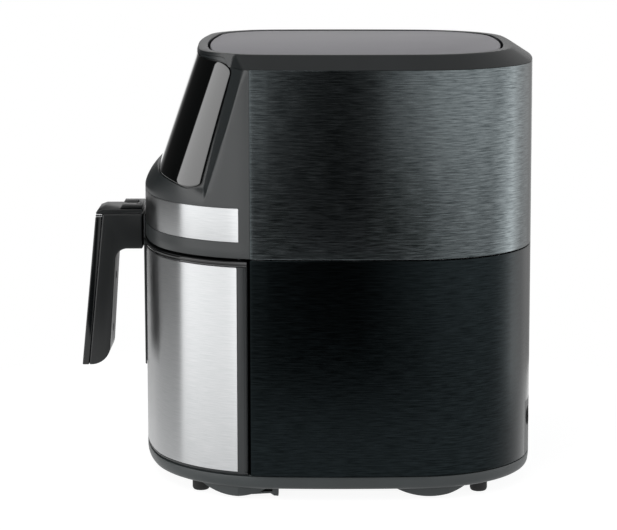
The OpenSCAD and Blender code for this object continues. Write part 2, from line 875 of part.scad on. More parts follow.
cutout_at = [62, -52];
module thermal_cutout() {
    color("#d9d4c6") place() translate([cutout_at.x, cutout_at.y, dish_top]) {
        cylinder(1, 12, 12);
        cylinder(9, 8, 8);
        for (x = [-5, 5]) translate([x - 0.4, -3, 9]) cube([0.8, 6, 7]);
    }
}

module temperature_probe() {
    color("#c9cbcd") place() rotate([0, 0, probe_angle]) translate([0, 0, probe_z]) rotate([0, 90, 0]) {
        translate([0, 0, dish_r - 14]) cylinder(16 + shroud_t, 2, 2);
        translate([0, 0, dish_r + shroud_t]) cylinder(4, 4.5, 4.5, $fn = 6);
    }
}

module power_board() {
    z = dish_top + wall + 6;
    color("#2c6a45") place() {
        difference() {
            box([power_x[0], -46, z], [power_x[1], 46, z + board_t]);
            for (x = power_post_x, y = [-40, 40]) translate([x, y, z - 1]) cylinder(4, 1.6, 1.6);
        }
        translate([power_x[0], 0, z + board_t]) {
            box([12, -30, 0], [36, -4, 18]);
            box([14, 6, 0], [30, 24, 15]);
            for (y = [12, 28]) translate([44, y, 0]) cylinder(20, 5.5, 5.5);
            box([40, -34, 0], [43, -2, 24]);
        }
    }
}

// --- Drawer front ---

drawer_z = base_top + 1;
drawer_seam_y = seam_y - 2.5;
skin_z = [drawer_z + 1.5, lip_z - 0.3];
skin_seam_y = seam_y - 10;
front_wall = skin_t + touch + wall;
back_wall = pan_in - pan_rim - touch;
prong_x = [10.5, 13];
prong_z = [pan_top + slide_gap + pan_t + touch, pan_top + 8];
toe_half_w = 6;
toe_z = [lip_z - 4.6, lip_z - 2.4];

// Two slots for the basket's prongs and the keeper window for the latch bolt
module front_slots() {
    both_sides() box([prong_x[0] - 0.5, front_y - 9, prong_z[0] - 0.4],
        [prong_x[1] + 0.5, front_y + pan_in + 3, lip_top + 1]);
    box([-toe_half_w - 0.6, front_y - 9, toe_z[0] - 0.4], [toe_half_w + 0.6, front_y + 8, toe_z[1] + 0.3]);
}

module drawer_front() {
    color("#202325") place() difference() {
        intersection() {
            union() {
                ring_wall(drawer_z, lip_z, skin_t + touch, front_wall);
                ring_wall(drawer_z, drawer_z + wall, skin_t + touch, back_wall);
                ring_wall(lip_z - wall, lip_z, skin_t + touch, back_wall);
                difference() {
                    ring_wall(drawer_z, lip_z, 0, wall);
                    in_front(skin_seam_y + touch);
                }
                ring_wall(drawer_z, skin_z[0] - touch, 0, wall);
            }
            in_front(drawer_seam_y);
        }
        front_slots();
    }
}

module drawer_back() {
    color("#202325") place() difference() {
        intersection() {
            union() {
                ring_wall(drawer_z + wall, lip_z - wall, back_wall - wall, back_wall);
                difference() {
                    ring_wall(drawer_z + wall, lip_z - wall, front_wall + 0.1, back_wall);
                    in_front(drawer_seam_y - wall);
                }
            }
            in_front(drawer_seam_y);
        }
        front_slots();
    }
}

module drawer_skin() {
    color("#c9cbcc") place() difference() {
        intersection() {
            ring_wall(skin_z[0], skin_z[1], 0, skin_t);
            in_front(skin_seam_y);
        }
        front_slots();
    }
}

module drawer_lip() {
    mid = lip_h*0.5;
    color("#101213") place() difference() {
        intersection() {
            loft([at_height(outline(0.2), lip_z), at_height(outline(-lip_out), lip_z + mid*0.6),
                at_height(outline(-lip_out), lip_top - mid*0.6), at_height(outline(-lip_out + 1), lip_top)]);
            in_front(drawer_seam_y);
        }
        ring_solid(lip_z - 1, lip_top + 1, 9);
        box([-plate_half - 0.6, -far, 0], [plate_half + 0.6, 0, far]);
    }
}

module drawer_magnet() {
    top = lip_z - wall;
    color("#3b3d3f") place()
        box([switch_x[0], front_y + front_wall + bow_drop(switch_x[1], front_wall) + touch,
            top - 5],
            [switch_x[1], front_y + shroud_in + 2, top - 0.1]);
}

// --- Pan and basket ---

module tub(z0, z1, inset, taper) {
    loft([at_height(outline(inset + taper + 7), z0), at_height(outline(inset + taper + 2.2), z0 + 2.5),
        at_height(outline(inset + taper), z0 + 8), at_height(outline(inset), z1)]);
}

module drawer_pan() {
    color("#26282a") place() difference() {
        union() {
            tub(pan_base_z, pan_top, pan_in, pan_taper);
            ring_solid(pan_top - pan_t, pan_top, pan_in - pan_rim);
        }
        tub(pan_base_z + pan_t, pan_top + 0.1, pan_in + pan_t, pan_taper);
        ring_solid(pan_top - 1, pan_top + 1, pan_in + pan_t);
    }
}

mesh_ledge = 9;
module basket() {
    color("#2c2e30") place() difference() {
        union() {
            tub(basket_base_z, basket_top, basket_in, pan_taper);
            ring_solid(pan_top + slide_gap, pan_top + slide_gap + pan_t, basket_in - 3.4);
        }
        tub(basket_base_z + pan_t, basket_top + 0.1, basket_in + pan_t, pan_taper);
        ring_solid(basket_top - 1, basket_top + 1, basket_in + pan_t);
        ring_solid(basket_base_z - 1, basket_base_z + 2*pan_t, basket_in + pan_taper + 7 + mesh_ledge);
    }
}

mesh_in = basket_in + pan_t + pan_taper + 7 + touch;
module basket_mesh() {
    rows = ceil(body_d / mesh_pitch);
    row_gap = mesh_pitch * sqrt(3)/2;
    hole_in = mesh_in + mesh_ledge + mesh_hole_d/2 + 2;
    half_w = body_w/2 - hole_in;
    half_d = body_d/2 - hole_in;
    color("#3a3c3e") place() difference() {
        ring_solid(basket_base_z + pan_t, basket_base_z + 2*pan_t, mesh_in);
        for (j = [-rows:rows], i = [-rows:rows])
            let (x = (i + (j % 2 == 0 ? 0 : 0.5)) * mesh_pitch, y = j*row_gap)
            if (pow(x/half_w, 4) + pow(y/half_d, 4) < 1)
                translate([x, y, basket_base_z]) cylinder(3*pan_t, mesh_hole_d/2, mesh_hole_d/2, $fn = 24);
    }
}

module basket_bracket() {
    tab_y = front_y + basket_in;
    tab_half = 18;
    color("#9b9ea0") place() union() {
        both_sides() box([prong_x[0], front_y + 1, prong_z[0]], [prong_x[1], tab_y - 0.3, prong_z[1]]);
        intersection() {
            ring_wall(prong_z[0], prong_z[1], basket_in - 2.3, basket_in - 0.3);
            box([-tab_half, -far, 0], [tab_half, 0, far]);
        }
    }
}

// --- Handle ---

arm_top = lip_top + arm_up;
arm_z = arm_top - arm_h;
arm_y = front_y - lip_out - slide_gap;
cap_t = 3.6;
cap_z = arm_top - cap_t;
tip_y = front_y - handle_reach;
head_y = tip_y + 12;
inner_top_y = head_y + grip_t - 7.4;
inner_foot_y = tip_y + grip_t;
fillet_r = 9.5;
half_w = handle_w/2;
plate_half = half_w + 1;

// Side view of the whole handle, as [y, z]
module handle_side() {
    foot_r = 15;
    difference() {
        union() {
            polygon([[arm_y, arm_z], [arm_y, cap_z], [head_y, cap_z], [tip_y, handle_foot_z],
                [inner_foot_y - foot_r, handle_foot_z], [inner_foot_y, handle_foot_z + foot_r],
                [inner_top_y, arm_z - fillet_r], [inner_top_y + fillet_r, arm_z]]);
            translate([inner_foot_y - foot_r, handle_foot_z + foot_r]) circle(foot_r);
        }
        translate([inner_top_y + fillet_r, arm_z - fillet_r]) circle(fillet_r);
    }
}

// Band along the grip's leaning front, from depth a to depth b behind its face
module grip_band(a, b) {
    polygon([[head_y + a, far], [head_y + a, cap_z], [tip_y + a, handle_foot_z],
        [tip_y + a, -far], [tip_y + b, -far], [tip_y + b, handle_foot_z], [head_y + b, cap_z],
        [head_y + b, far]]);
}

// Hollow in the arm for the button and the latch, with a shelf between them for the spring
pocket_y = [head_y + 14, arm_y - 2.4];
pocket_half = 12;
bolt_z = toe_z;
bolt_gap = 0.3;
shelf_t = 2;

// Places of the button and the bolt
button_y = [pocket_y[1] - 10.3, pocket_y[1] - 2.3];
button_half = 8;
button_lip = 2;
stem_y = [button_y[0] + 0.5, button_y[0] + 5.5];
stem_half = 4;
stem_z = bolt_z[1] + button_travel + 0.8;
wedge = 2.2;            // the 45 degree wedge on the stem's foot
ramp_top = stem_z + 4;
shelf_z = ramp_top + 1;
GRIP_SCREW_Z = [handle_foot_z + 26, arm_z - 24];
screw_seat_y = inner_foot_y - 7;

module handle_grip() {
    color("#25282a") place() difference() {
        across(half_w) difference() {
            handle_side();
            grip_band(-far, strip_t + 0.15);
        }
        box([-pocket_half, pocket_y[0], bolt_z[0] - bolt_gap], [pocket_half, pocket_y[1], shelf_z]);
        box([-pocket_half, pocket_y[0], shelf_z + shelf_t], [pocket_half, pocket_y[1], cap_z + 1]);
        box([-stem_half - 0.5, stem_y[0] - 0.5, shelf_z - 1],
            [stem_half + 0.5, stem_y[1] + 0.5, shelf_z + shelf_t + 1]);
        box([-toe_half_w - bolt_gap, pocket_y[0], bolt_z[0] - bolt_gap],
            [toe_half_w + bolt_gap, arm_y + 1, bolt_z[1] + bolt_gap]);
        for (z = GRIP_SCREW_Z) translate([0, screw_seat_y, z]) {
            rotate([-90, 0, 0]) cylinder(20, 3.4, 3.4);
            rotate([90, 0, 0]) cylinder(far, 1.7, 1.7);
        }
    }
}

module handle_strip() {
    color("#0d0f10") place() difference() {
        across(half_w) intersection() {
            handle_side();
            grip_band(0, strip_t);
            translate([-far, -far]) square([2*far, far + cap_z - 2.4]);
        }
        for (z = GRIP_SCREW_Z) translate([0, screw_seat_y, z]) rotate([90, 0, 0])
            cylinder(grip_t - 10, 1.7, 1.7);
    }
}

module handle_accent() {
    color("#e8e9ea") place() across(half_w) intersection() {
        handle_side();
        grip_band(0, strip_t);
        translate([-far, cap_z - 2.2]) square([2*far, 2.1]);
    }
}

module handle_screws() {
    color("#8d9194") place() for (z = GRIP_SCREW_Z)
        translate([0, screw_seat_y + 2, z]) rotate([90, 0, 0]) difference() {
            union() {
                cylinder(2, 3, 3);
                cylinder(grip_t - 10.5, 1.5, 1.5);
            }
            translate([0, 0, -1]) cylinder(2, 1.3, 1.3, $fn = 6);
        }
}

module handle_cap() {
    nose = 4.6;
    color("#3b3f41") place() difference() {
        across(half_w) polygon([[arm_y, cap_z], [arm_y, arm_top], [head_y + nose + 1, arm_top],
            [head_y + 0.6, arm_top - 1.8], [head_y, cap_z]]);
        box([-button_half - touch, button_y[0] - touch, cap_z - 1],
            [button_half + touch, button_y[1] + touch, arm_top + 1]);
    }
}

module handle_plate() {
    color("#16181a") place() difference() {
        intersection() {
            union() {
                ring_wall(handle_foot_z + 1, lip_top, -lip_out + 0.1, -touch);
                ring_wall(lip_z, cap_z - 1, -lip_out - 0.2, -0.5);
            }
            box([-plate_half, -far, 0], [plate_half, 0, far]);
        }
        box([-toe_half_w - 0.6, front_y - 9, toe_z[0] - 0.4],
            [toe_half_w + 0.6, front_y + 8, toe_z[1] + 0.3]);
    }
}

cover_t = 2.6;
cover_half = half_w - 3;
module button_cover() {
    low = arm_top + slide_gap;
    y0 = arm_y - 17.5;
    color("#33373a") place() difference() {
        across(cover_half) polygon([[y0, low], [y0 + 1.6, low + cover_t], [arm_y - 0.8, low + cover_t],
            [arm_y - 0.2, low + cover_t - 0.6], [arm_y - 0.2, low]]);
        translate([0, arm_y - 10, low + cover_t + 17.4]) sphere(18.6);
        box([-9, arm_y - 5.6, low + 0.9], [9, arm_y - 4.6, low + cover_t + 1]);
    }
}

module release_button() {
    color("#b23b34") place() difference() {
        union() {
            box([-button_half, button_y[0], cap_z - 0.4], [button_half, button_y[1], arm_top - 0.2]);
            box([-button_half - button_lip, button_y[0] - 1.5, cap_z - 2.4],
                [button_half + button_lip, button_y[1] + 0.4, cap_z - 0.3]);
            box([-stem_half, stem_y[0], stem_z], [stem_half, stem_y[1], cap_z - 2]);
        }
        across(stem_half + 1) polygon([[stem_y[0] - 1, stem_z - 1], [stem_y[0] + wedge + 1, stem_z - 1],
            [stem_y[0] - 1, stem_z + wedge + 1]]);
    }
}

// The stem's wedge pushes the bolt's ramp forward and draws its toe out of the drawer front
module latch_bolt() {
    foot = stem_y[0] + wedge + (stem_z - bolt_z[1]) - 0.45;
    head = foot - (ramp_top - bolt_z[1]);
    color("#c7c9cb") place() union() {
        box([-toe_half_w, head - 3, bolt_z[0]], [toe_half_w, front_y + 1.4, bolt_z[1]]);
        across(stem_half) polygon([[foot, bolt_z[1] - 0.1], [head, ramp_top], [head - 3, ramp_top],
            [head - 3, bolt_z[1] - 0.1]]);
    }
}

// Return spring: a helix round the button's stem
spring_r = 6.4;
spring_wire_r = 0.5;
spring_turns = 3;
SPRING_STEPS = 16;
SPRING_SIDES = 6;

function spring_point(i, z0, z1) =
    let (a = 360*i/SPRING_STEPS, n = spring_turns*SPRING_STEPS)
    [spring_r*cos(a), spring_r*sin(a), z0 + (z1 - z0)*i/n];

module button_spring() {
    z0 = shelf_z + shelf_t + spring_wire_r + touch;
    z1 = cap_z - 2.4 - spring_wire_r - touch;
    n = spring_turns*SPRING_STEPS;
    rings = [for (i = [0:n]) let (a = 360*i/SPRING_STEPS, p = spring_point(i, z0, z1))
        [for (k = [0:SPRING_SIDES - 1]) let (b = 360*k/SPRING_SIDES)
            p + spring_wire_r*[cos(b)*cos(a), cos(b)*sin(a), -sin(b)]]];
    color("#b9bbbd") place() translate([0, (stem_y[0] + stem_y[1])/2, 0]) loft(rings);
}

base_tray();
base_deck();
rubber_feet();
base_screws();
lower_wrap();
upper_wrap();
front_fascia();
trim_band();
control_panel();
control_board();
top_cover();
top_panel();
rear_vent();
cord_inlet();
inlet_plate();
chamber_liner();
drawer_rails();
heat_shroud();
heating_element();
element_clips();
element_guard();
mid_frame();
motor_stator();
motor_bearings();
motor_bracket();
motor_screws();
power_board();
thermal_cutout();
temperature_probe();
reed_switch();
hot_fan();
motor_shaft();
cooling_fan();
drawer_pan();
drawer_front();
drawer_back();
drawer_skin();
drawer_lip();
drawer_magnet();
basket();
basket_mesh();
basket_bracket();
handle_plate();
handle_grip();
handle_strip();
handle_accent();
handle_cap();
handle_screws();
button_cover();
release_button();
button_spring();
latch_bolt();
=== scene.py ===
"""Drawer air fryer: finely modelled outer pieces and their finishes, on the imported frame.

The frame is in metres, +Z up, with the front towards -Y. Sizes below are in millimetres in the
body's own frame, whose middle lies BODY_SHIFT behind the object's origin.
"""
import functools
import json
import math

import bmesh
import bpy
import numpy as np
from mathutils import Matrix, Vector

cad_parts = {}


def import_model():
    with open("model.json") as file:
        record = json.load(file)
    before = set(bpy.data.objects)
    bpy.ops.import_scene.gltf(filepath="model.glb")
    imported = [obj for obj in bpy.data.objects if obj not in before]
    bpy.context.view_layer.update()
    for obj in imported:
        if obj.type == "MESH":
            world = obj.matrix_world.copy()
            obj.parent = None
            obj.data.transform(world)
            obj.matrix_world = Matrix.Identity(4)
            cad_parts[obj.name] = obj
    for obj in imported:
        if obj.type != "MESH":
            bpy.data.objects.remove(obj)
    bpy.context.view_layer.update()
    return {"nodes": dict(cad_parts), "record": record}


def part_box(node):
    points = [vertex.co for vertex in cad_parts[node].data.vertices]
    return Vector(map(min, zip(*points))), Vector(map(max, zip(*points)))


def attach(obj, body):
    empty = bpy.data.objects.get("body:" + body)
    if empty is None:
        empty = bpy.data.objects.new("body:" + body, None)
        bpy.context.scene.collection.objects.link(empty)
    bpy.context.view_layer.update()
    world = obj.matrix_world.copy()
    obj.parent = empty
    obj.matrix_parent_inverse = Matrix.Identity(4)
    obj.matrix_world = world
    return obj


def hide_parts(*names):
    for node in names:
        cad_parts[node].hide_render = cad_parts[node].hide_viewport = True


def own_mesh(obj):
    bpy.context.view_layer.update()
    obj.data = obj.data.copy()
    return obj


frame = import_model()
NODES = frame["nodes"]
BODY_OF = {n: b for b, names in frame["record"]["behaviour"]["bodies"].items() for n in names}
MM = 0.001

# --- Sizes, in millimetres ---

BODY_W = 280.0
BODY_D = 300.0
BODY_H = 330.0
HANDLE_REACH = 50.0
BODY_SHIFT = HANDLE_REACH / 2
SIDE_BOW_R = 900.0          # plan radii of the sides, the ends and the corners
FRONT_BOW_R = 235.0
FRONT_CORNER_R = 100.0
BACK_BOW_R = 480.0
BACK_CORNER_R = 90.0

FOOT_H = 9.5
BASE_TOP = 19.5
WAIST_Z = 181.0
SEAM_GAP = 0.8
UPPER_Z = WAIST_Z + SEAM_GAP
SHOULDER_Z = WAIST_Z + 40.0
SHOULDER_RISE = 10.0
SHOULDER_TOP = SHOULDER_Z + SHOULDER_RISE
RIM_Z = 320.0
RIM_IN = 15.5               # how far the rim's chamfer leans in
FACE_TOP = 327.3            # where the control face ends at the middle
WALL = 2.5
SHEET = 1.5
SKIN_T = 1.2
TOUCH = 0.2                 # gap between pieces that lie against each other

FACE_LEAN = math.radians(18.5)
FACE_BOW_R = 600.0
FACE_CORNER_R = 55.0
SHOULDER_IN = 9.7
PANEL_HALF_W = 116.4
PANEL_T = 2.0
PANEL_GAP = 1.0
PANEL_FOOT = 9.0            # what stays free below and above the glossy panel
PANEL_HEAD = 1.0
PANEL_CORNER_R = 8.0
FASCIA_WALL = WALL + PANEL_T
COVER_LAP = 0.1             # the front moulding stops this far under the top cover

FRONT_Y = -BODY_D / 2
SEAM_Y = FRONT_Y + 86.0
DRAWER_SEAM_Y = SEAM_Y - 2.5
SKIN_SEAM_Y = SEAM_Y - 10.0
BAND_SEAM_Y = SEAM_Y - 8.5
BAND_Z = (193.8, 218.8)

LIP_TOP = WAIST_Z - 1.0
LIP_Z = LIP_TOP - 4.5
LIP_OUT = 1.5
DRAWER_Z = BASE_TOP + 1.0
LAND_W = 7.0                # flat land between the rim's chamfer and the top panel's groove
TOP_GAP = 2.0
TOP_BED = FACE_TOP - 3.5
LEDGE_W = 13.5              # inward ledges of the upper parts, and the lower wrap's foot flange
FLANGE_W = 20.5
FAR = 200.0                 # past the body's outline

# The chamfer beside the control face: a point on it, its turn in plan and its lean
EDGE_AT = (BODY_W / 2 - 4.0, SEAM_Y - 3.9, RIM_Z)
EDGE_TURN = math.radians(63.4)
EDGE_LEAN = math.radians(12.4)

INLET_AT = (62.0, 47.5)     # (x, z) of the cord's bush
INLET_Y = 136.2
INLET_BORE_R = 4.0
SCREW_PLACES = [(s * x, y) for s in (1, -1) for x, y in ((60, -118), (112, 20), (70, 118))]
FOOT_PLACES = [(s * x, y) for s in (1, -1) for x, y in ((100, -103), (103, 106))]
PAD_X = (108.0, 129.0)      # the base pads' width, depth, and (middle, length) along the side
PAD_DROP = 7.4
PADS = ((-76, 52), (68, 54))
CLIP_X = (116, 126)
CLIP_Y = (-64, -44)
SLOT_STEP = 12              # the base's nine cooling slots
SLOT_W = 4

TIP_Y = FRONT_Y - HANDLE_REACH
HEAD_Y = TIP_Y + 12.0       # the grip's front at its head
HANDLE_FOOT_Z = 78.0
HANDLE_W = 42.0
ARM_TOP = LIP_TOP + 21.0
ARM_Z = ARM_TOP - 31.0
ARM_Y = FRONT_Y - LIP_OUT - 0.3
CAP_Z = ARM_TOP - 3.6       # where the arm's cap begins
GRIP_T = 22.0
STRIP_T = 5.2
ACCENT_H = 2.4              # height of the bright accent over the front strip
INNER_TOP_Y = HEAD_Y + GRIP_T - 7.4
INNER_FOOT_Y = TIP_Y + GRIP_T
FOOT_R = 15.0               # the grip's rounded foot, and the fillet under the arm
FILLET_R = 9.5
POCKET_Y = (HEAD_Y + 14, ARM_Y - 2.4)
PLATE_W = 43.6
PRONG_X = 11.75             # slots for the basket's prongs and for the latch's toe
PRONG_HALF = 1.75
TOE_HALF = 6.6
GRIP_SCREW_Z = (HANDLE_FOOT_Z + 26, ARM_Z - 24)
SCREW_SEAT_Y = INNER_FOOT_Y - 5

# --- Plan outlines: four bows joined by corner arcs ---

ARC_STEPS = (10, 36, 20)    # points along the side's, the corner's and the end's arc


@functools.lru_cache(maxsize=None)
def quarter_arcs(a, b, side_r, end_r, corner_r):
    """Arcs (centre, radius, start, end) from the side's middle [a, 0] to the end's middle [0, b]."""
    side_c, end_c = np.array([a - side_r, 0.0]), np.array([0.0, b - end_r])
    ds, de = side_r - corner_r, end_r - corner_r
    gap = np.linalg.norm(end_c - side_c)
    u = (end_c - side_c) / gap
    along = (ds * ds - de * de + gap * gap) / (2 * gap)
    c = side_c + along * u + math.sqrt(ds * ds - along * along) * np.array([-u[1], u[0]])
    a1 = math.atan2(c[1] - side_c[1], c[0] - side_c[0])
    a2 = math.atan2(c[1] - end_c[1], c[0] - end_c[0])
    return [(side_c, side_r, 0.0, a1), (c, corner_r, a1, a2), (end_c, end_r, a2, math.pi / 2)]


def back_arcs(inset=0.0):
    """Arcs of the body's back quarter, moved in by inset."""
    return quarter_arcs(BODY_W / 2 - inset, BODY_D / 2 - inset, SIDE_BOW_R - inset,
                        BACK_BOW_R - inset, BACK_CORNER_R - inset)


def front_arcs(inset=0.0):
    """Arcs of the body's front quarter, moved in by inset."""
    return quarter_arcs(BODY_W / 2 - inset, BODY_D / 2 - inset, SIDE_BOW_R - inset,
                        FRONT_BOW_R - inset, FRONT_CORNER_R - inset)


def face_reach(z):
    """How far the control face stands in front of the middle at height z."""
    return -FRONT_Y - SHOULDER_IN - (z - SHOULDER_TOP) * math.tan(FACE_LEAN)


def face_arcs(z, inset=0.0):
    """Arcs of the control face's quarter at height z, moved in by inset."""
    return quarter_arcs(BODY_W / 2 - RIM_IN - inset, face_reach(z) - inset,
                        SIDE_BOW_R - RIM_IN - inset, FACE_BOW_R - inset, FACE_CORNER_R - inset)


def arc_run(arcs, y_from=0.0):
    """Points along a quarter's arcs from where it passes y_from to the end's middle."""
    points = []
    for (c, r, a0, a1), n in zip(arcs, ARC_STEPS):
        if c[1] + r * math.sin(a1) <= y_from:
            continue
        cut_short = not points and c[1] + r * math.sin(a0) < y_from
        start = math.asin((y_from - c[1]) / r) if cut_short else a0
        for i in range(n):
            t = start + (a1 - start) * i / n
            points.append((c[0] + r * math.cos(t), c[1] + r * math.sin(t)))
    c, r, _, a1 = arcs[-1]
    points.append((c[0] + r * math.cos(a1), c[1] + r * math.sin(a1)))
    return np.array(points)


def half_turn(arcs, y_from, sign):
    """The outline from the +X side round one end to the -X side; sign is +1 for the back."""
    run = arc_run(arcs, y_from)
    other = run[-2::-1] * [-1, 1]
    return np.concatenate([run, other]) * [1, sign]


def closed_outline(back, front):
    """A whole outline, anticlockwise from the +X side's middle."""
    a = half_turn(back, 0.0, 1)
    b = half_turn(front, 0.0, -1)[::-1]
    return np.concatenate([a, b[1:-1]])


def body_outline(inset=0.0):
    """The whole body's outline, moved in by inset."""
    return closed_outline(back_arcs(inset), front_arcs(inset))


def face_outline(z, inset=0.0):
    """The outline inside the rim, with the control face's bow at height z in front."""
    return closed_outline(back_arcs(RIM_IN + inset), face_arcs(z, inset))


def front_path(y_end):
    """Outline in front of y_end, from the +X side to the -X side, as a function of the inset."""
    return lambda inset: half_turn(front_arcs(inset), -y_end, -1)


def back_path(y_end):
    """Outline behind y_end, from the +X side to the -X side, as a function of the inset."""
    def path(inset):
        side = []
        for c, r, a0, a1 in front_arcs(inset)[:2]:
            stop = a1 if c[1] + r * math.sin(a1) < -y_end else math.asin((-y_end - c[1]) / r)
            if stop > a0:
                side += arc(c, r, math.degrees(a0), math.degrees(stop), ARC_STEPS[0])[1:]
        side = np.array(side) * [1, -1]
        return np.concatenate([side[::-1], half_turn(back_arcs(inset), 0.0, 1), side * [-1, 1]])
    return path


def arc(c, r, a0, a1, n):
    """Points on an arc, angles in degrees."""
    return [(c[0] + r * math.cos(math.radians(a0 + (a1 - a0) * i / n)),
             c[1] + r * math.sin(math.radians(a0 + (a1 - a0) * i / n))) for i in range(n + 1)]


# --- Meshes ---

def piece(name, vertices, faces, shade=32, uv=None):
    """A mesh object from millimetres in the body's frame. shade is the angle past which an edge
    is sharp; uv gives each vertex's place along and up the surface, in millimetres."""
    v = np.asarray(vertices, float) + [0, BODY_SHIFT, 0]
    mesh = bpy.data.meshes.new(name)
    mesh.from_pydata((v * MM).tolist(), [], [list(map(int, f)) for f in faces])
    if uv is not None:
        layer = mesh.uv_layers.new(name="Sheet")
        loops = np.zeros(len(mesh.loops), np.int64)
        mesh.loops.foreach_get("vertex_index", loops)
        layer.data.foreach_set("uv", (np.asarray(uv, float)[loops] * MM).astype(np.float32).ravel())
    mesh.validate()
    mesh.update()
    obj = bpy.data.objects.new(name, mesh)
    bpy.context.scene.collection.objects.link(obj)
    tidy_normals(obj)
    smooth(obj, shade)
    return obj


def tidy_normals(obj):
    """Merges doubled points and turns the faces outwards."""
    bm = bmesh.new()
    bm.from_mesh(obj.data)
    bmesh.ops.remove_doubles(bm, verts=bm.verts, dist=1e-7)
    bmesh.ops.recalc_face_normals(bm, faces=bm.faces)
    bm.to_mesh(obj.data)
    bm.free()


def smooth(obj, degrees):
    """Shades an object smoothly, with sharp edges past an angle in degrees."""
    obj.data.polygons.foreach_set("use_smooth", [True] * len(obj.data.polygons))
    obj.data.set_sharp_from_angle(angle=math.radians(degrees))
    obj.data.update()


def grid_faces(rows, columns, close_rows=False, close_columns=False):
    """Quads of a grid whose vertices run along each row in turn."""
    faces = []
    for r in range(rows if close_rows else rows - 1):
        for c in range(columns if close_columns else columns - 1):
            r2, c2 = (r + 1) % rows, (c + 1) % columns
            faces.append((r * columns + c, r * columns + c2, r2 * columns + c2, r2 * columns + c))
    return faces


def along(points):
    """Distance along a row of points."""
    steps = np.linalg.norm(np.diff(points, axis=0), axis=1)
    return np.concatenate([[0], np.cumsum(steps)])


def stack(name, rings, shade=32):
    """A solid through closed rings of equal length, with flat ends."""
    n = len(rings[0])
    faces = grid_faces(len(rings), n, close_columns=True)
    faces.append(tuple(range(n))[::-1])
    faces.append(tuple(range((len(rings) - 1) * n, len(rings) * n)))
    uv = np.concatenate([np.stack([along(r), np.asarray(r)[:, 2]], 1) for r in rings])
    return piece(name, np.concatenate(rings), faces, shade, uv)


def ring_at(points, z):
    """Plan points lifted to height z."""
    return np.column_stack([points, np.full(len(points), float(z))])


def tube_faces(rows, columns):
    """Faces of a closed loop of rows, with flat ends across the first and last columns."""
    faces = grid_faces(rows, columns, close_rows=True)
    for column, way in ((0, 1), (columns - 1, -1)):
        faces.append(tuple(r * columns + column for r in range(rows))[::way])
    return faces


def swept(name, profile, path, shade=32):
    """A bar whose closed profile of (inset, z) runs along path(inset), with flat ends."""
    rows = [ring_at(path(inset), z) for inset, z in profile]
    n = len(rows[0])
    uv = np.concatenate([np.stack([along(rows[0]), np.full(n, z)], 1) for _, z in profile])
    return piece(name, np.concatenate(rows), tube_faces(len(rows), n), shade, uv)


def rounded_profile(corners, steps=4):
    """A closed profile of (inset, z, radius) corners with each corner rounded."""
    out = []
    n = len(corners)
    for i, (x, z, r) in enumerate(corners):
        p = np.array([x, z], float)
        if r <= 0:
            out.append(p)
            continue
        a = np.array(corners[i - 1][:2], float) - p
        b = np.array(corners[(i + 1) % n][:2], float) - p
        la, lb = np.linalg.norm(a), np.linalg.norm(b)
        a, b = a / la, b / lb
        half = math.acos(np.clip(a @ b, -1, 1)) / 2
        reach = min(r / math.tan(half), 0.49 * la, 0.49 * lb)
        c = p + (a + b) / np.linalg.norm(a + b) * reach / math.cos(half)
        start, end = p + a * reach - c, p + b * reach - c
        t0, t1 = math.atan2(start[1], start[0]), math.atan2(end[1], end[0])
        turn = (t1 - t0 + math.pi) % (2 * math.pi) - math.pi
        radius = np.linalg.norm(start)
        for k in range(steps + 1):
            t = t0 + turn * k / steps
            out.append(c + radius * np.array([math.cos(t), math.sin(t)]))
    return [tuple(q) for q in out]


def cut(obj, tool, how="DIFFERENCE", shade=32):
    """Cuts one closed piece with another, or joins or crosses them; the tool is removed."""
    mod = obj.modifiers.new("cut", "BOOLEAN")
    mod.operation, mod.object, mod.solver = how, tool, "MANIFOLD"
    settle(obj)
    bpy.data.objects.remove(tool)
    smooth(obj, shade)
    return obj


def settle(obj):
    """Turns an object's modifiers into its mesh."""
    depsgraph = bpy.context.evaluated_depsgraph_get()
    depsgraph.update()
    mesh = bpy.data.meshes.new_from_object(obj.evaluated_get(depsgraph))
    obj.modifiers.clear()
    old, obj.data = obj.data, mesh
    bpy.data.meshes.remove(old)
    mesh.name = obj.name
    return obj


def block(name, low, high):
    """A box between two corners."""
    x0, y0, z0 = low
    x1, y1, z1 = high
    v = [(x, y, z) for z in (z0, z1) for x, y in ((x0, y0), (x1, y0), (x1, y1), (x0, y1))]
    f = [(3, 2, 1, 0), (4, 5, 6, 7), (0, 1, 5, 4), (1, 2, 6, 5), (2, 3, 7, 6), (3, 0, 4, 7)]
    return piece(name, v, f)


def pocket(obj, half, y, z, x=0.0, shade=32):
    """Cuts a box out of an object: half wide to both sides of x, and from and to y and z."""
    return cut(obj, block("pocket", (x - half, y[0], z[0]), (x + half, y[1], z[1])), shade=shade)


def turns(n):
    """n even angles round a full turn."""
    return [2 * math.pi * i / n for i in range(n)]


def rod(name, start, end, r, sides=48):
    """A round bar from start to end."""
    a, b = Vector(start), Vector(end)
    side = (b - a).orthogonal().normalized()
    up = (b - a).normalized().cross(side)
    return stack(name, [np.array([at + (side * math.cos(t) + up * math.sin(t)) * r
                                  for t in turns(sides)]) for at in (a, b)])


def drill(obj, start, end, r, sides=48):
    """Cuts a round hole from start to end."""
    return cut(obj, rod("drill", start, end, r, sides))


def turned(name, profile, centre=(0, 0), sides=64):
    """A round piece turned about an upright axis: profile is (radius, z) from end to end."""
    return stack(name, [np.array([(centre[0] + r * math.cos(t), centre[1] + r * math.sin(t), z)
                                  for t in turns(sides)]) for r, z in profile])


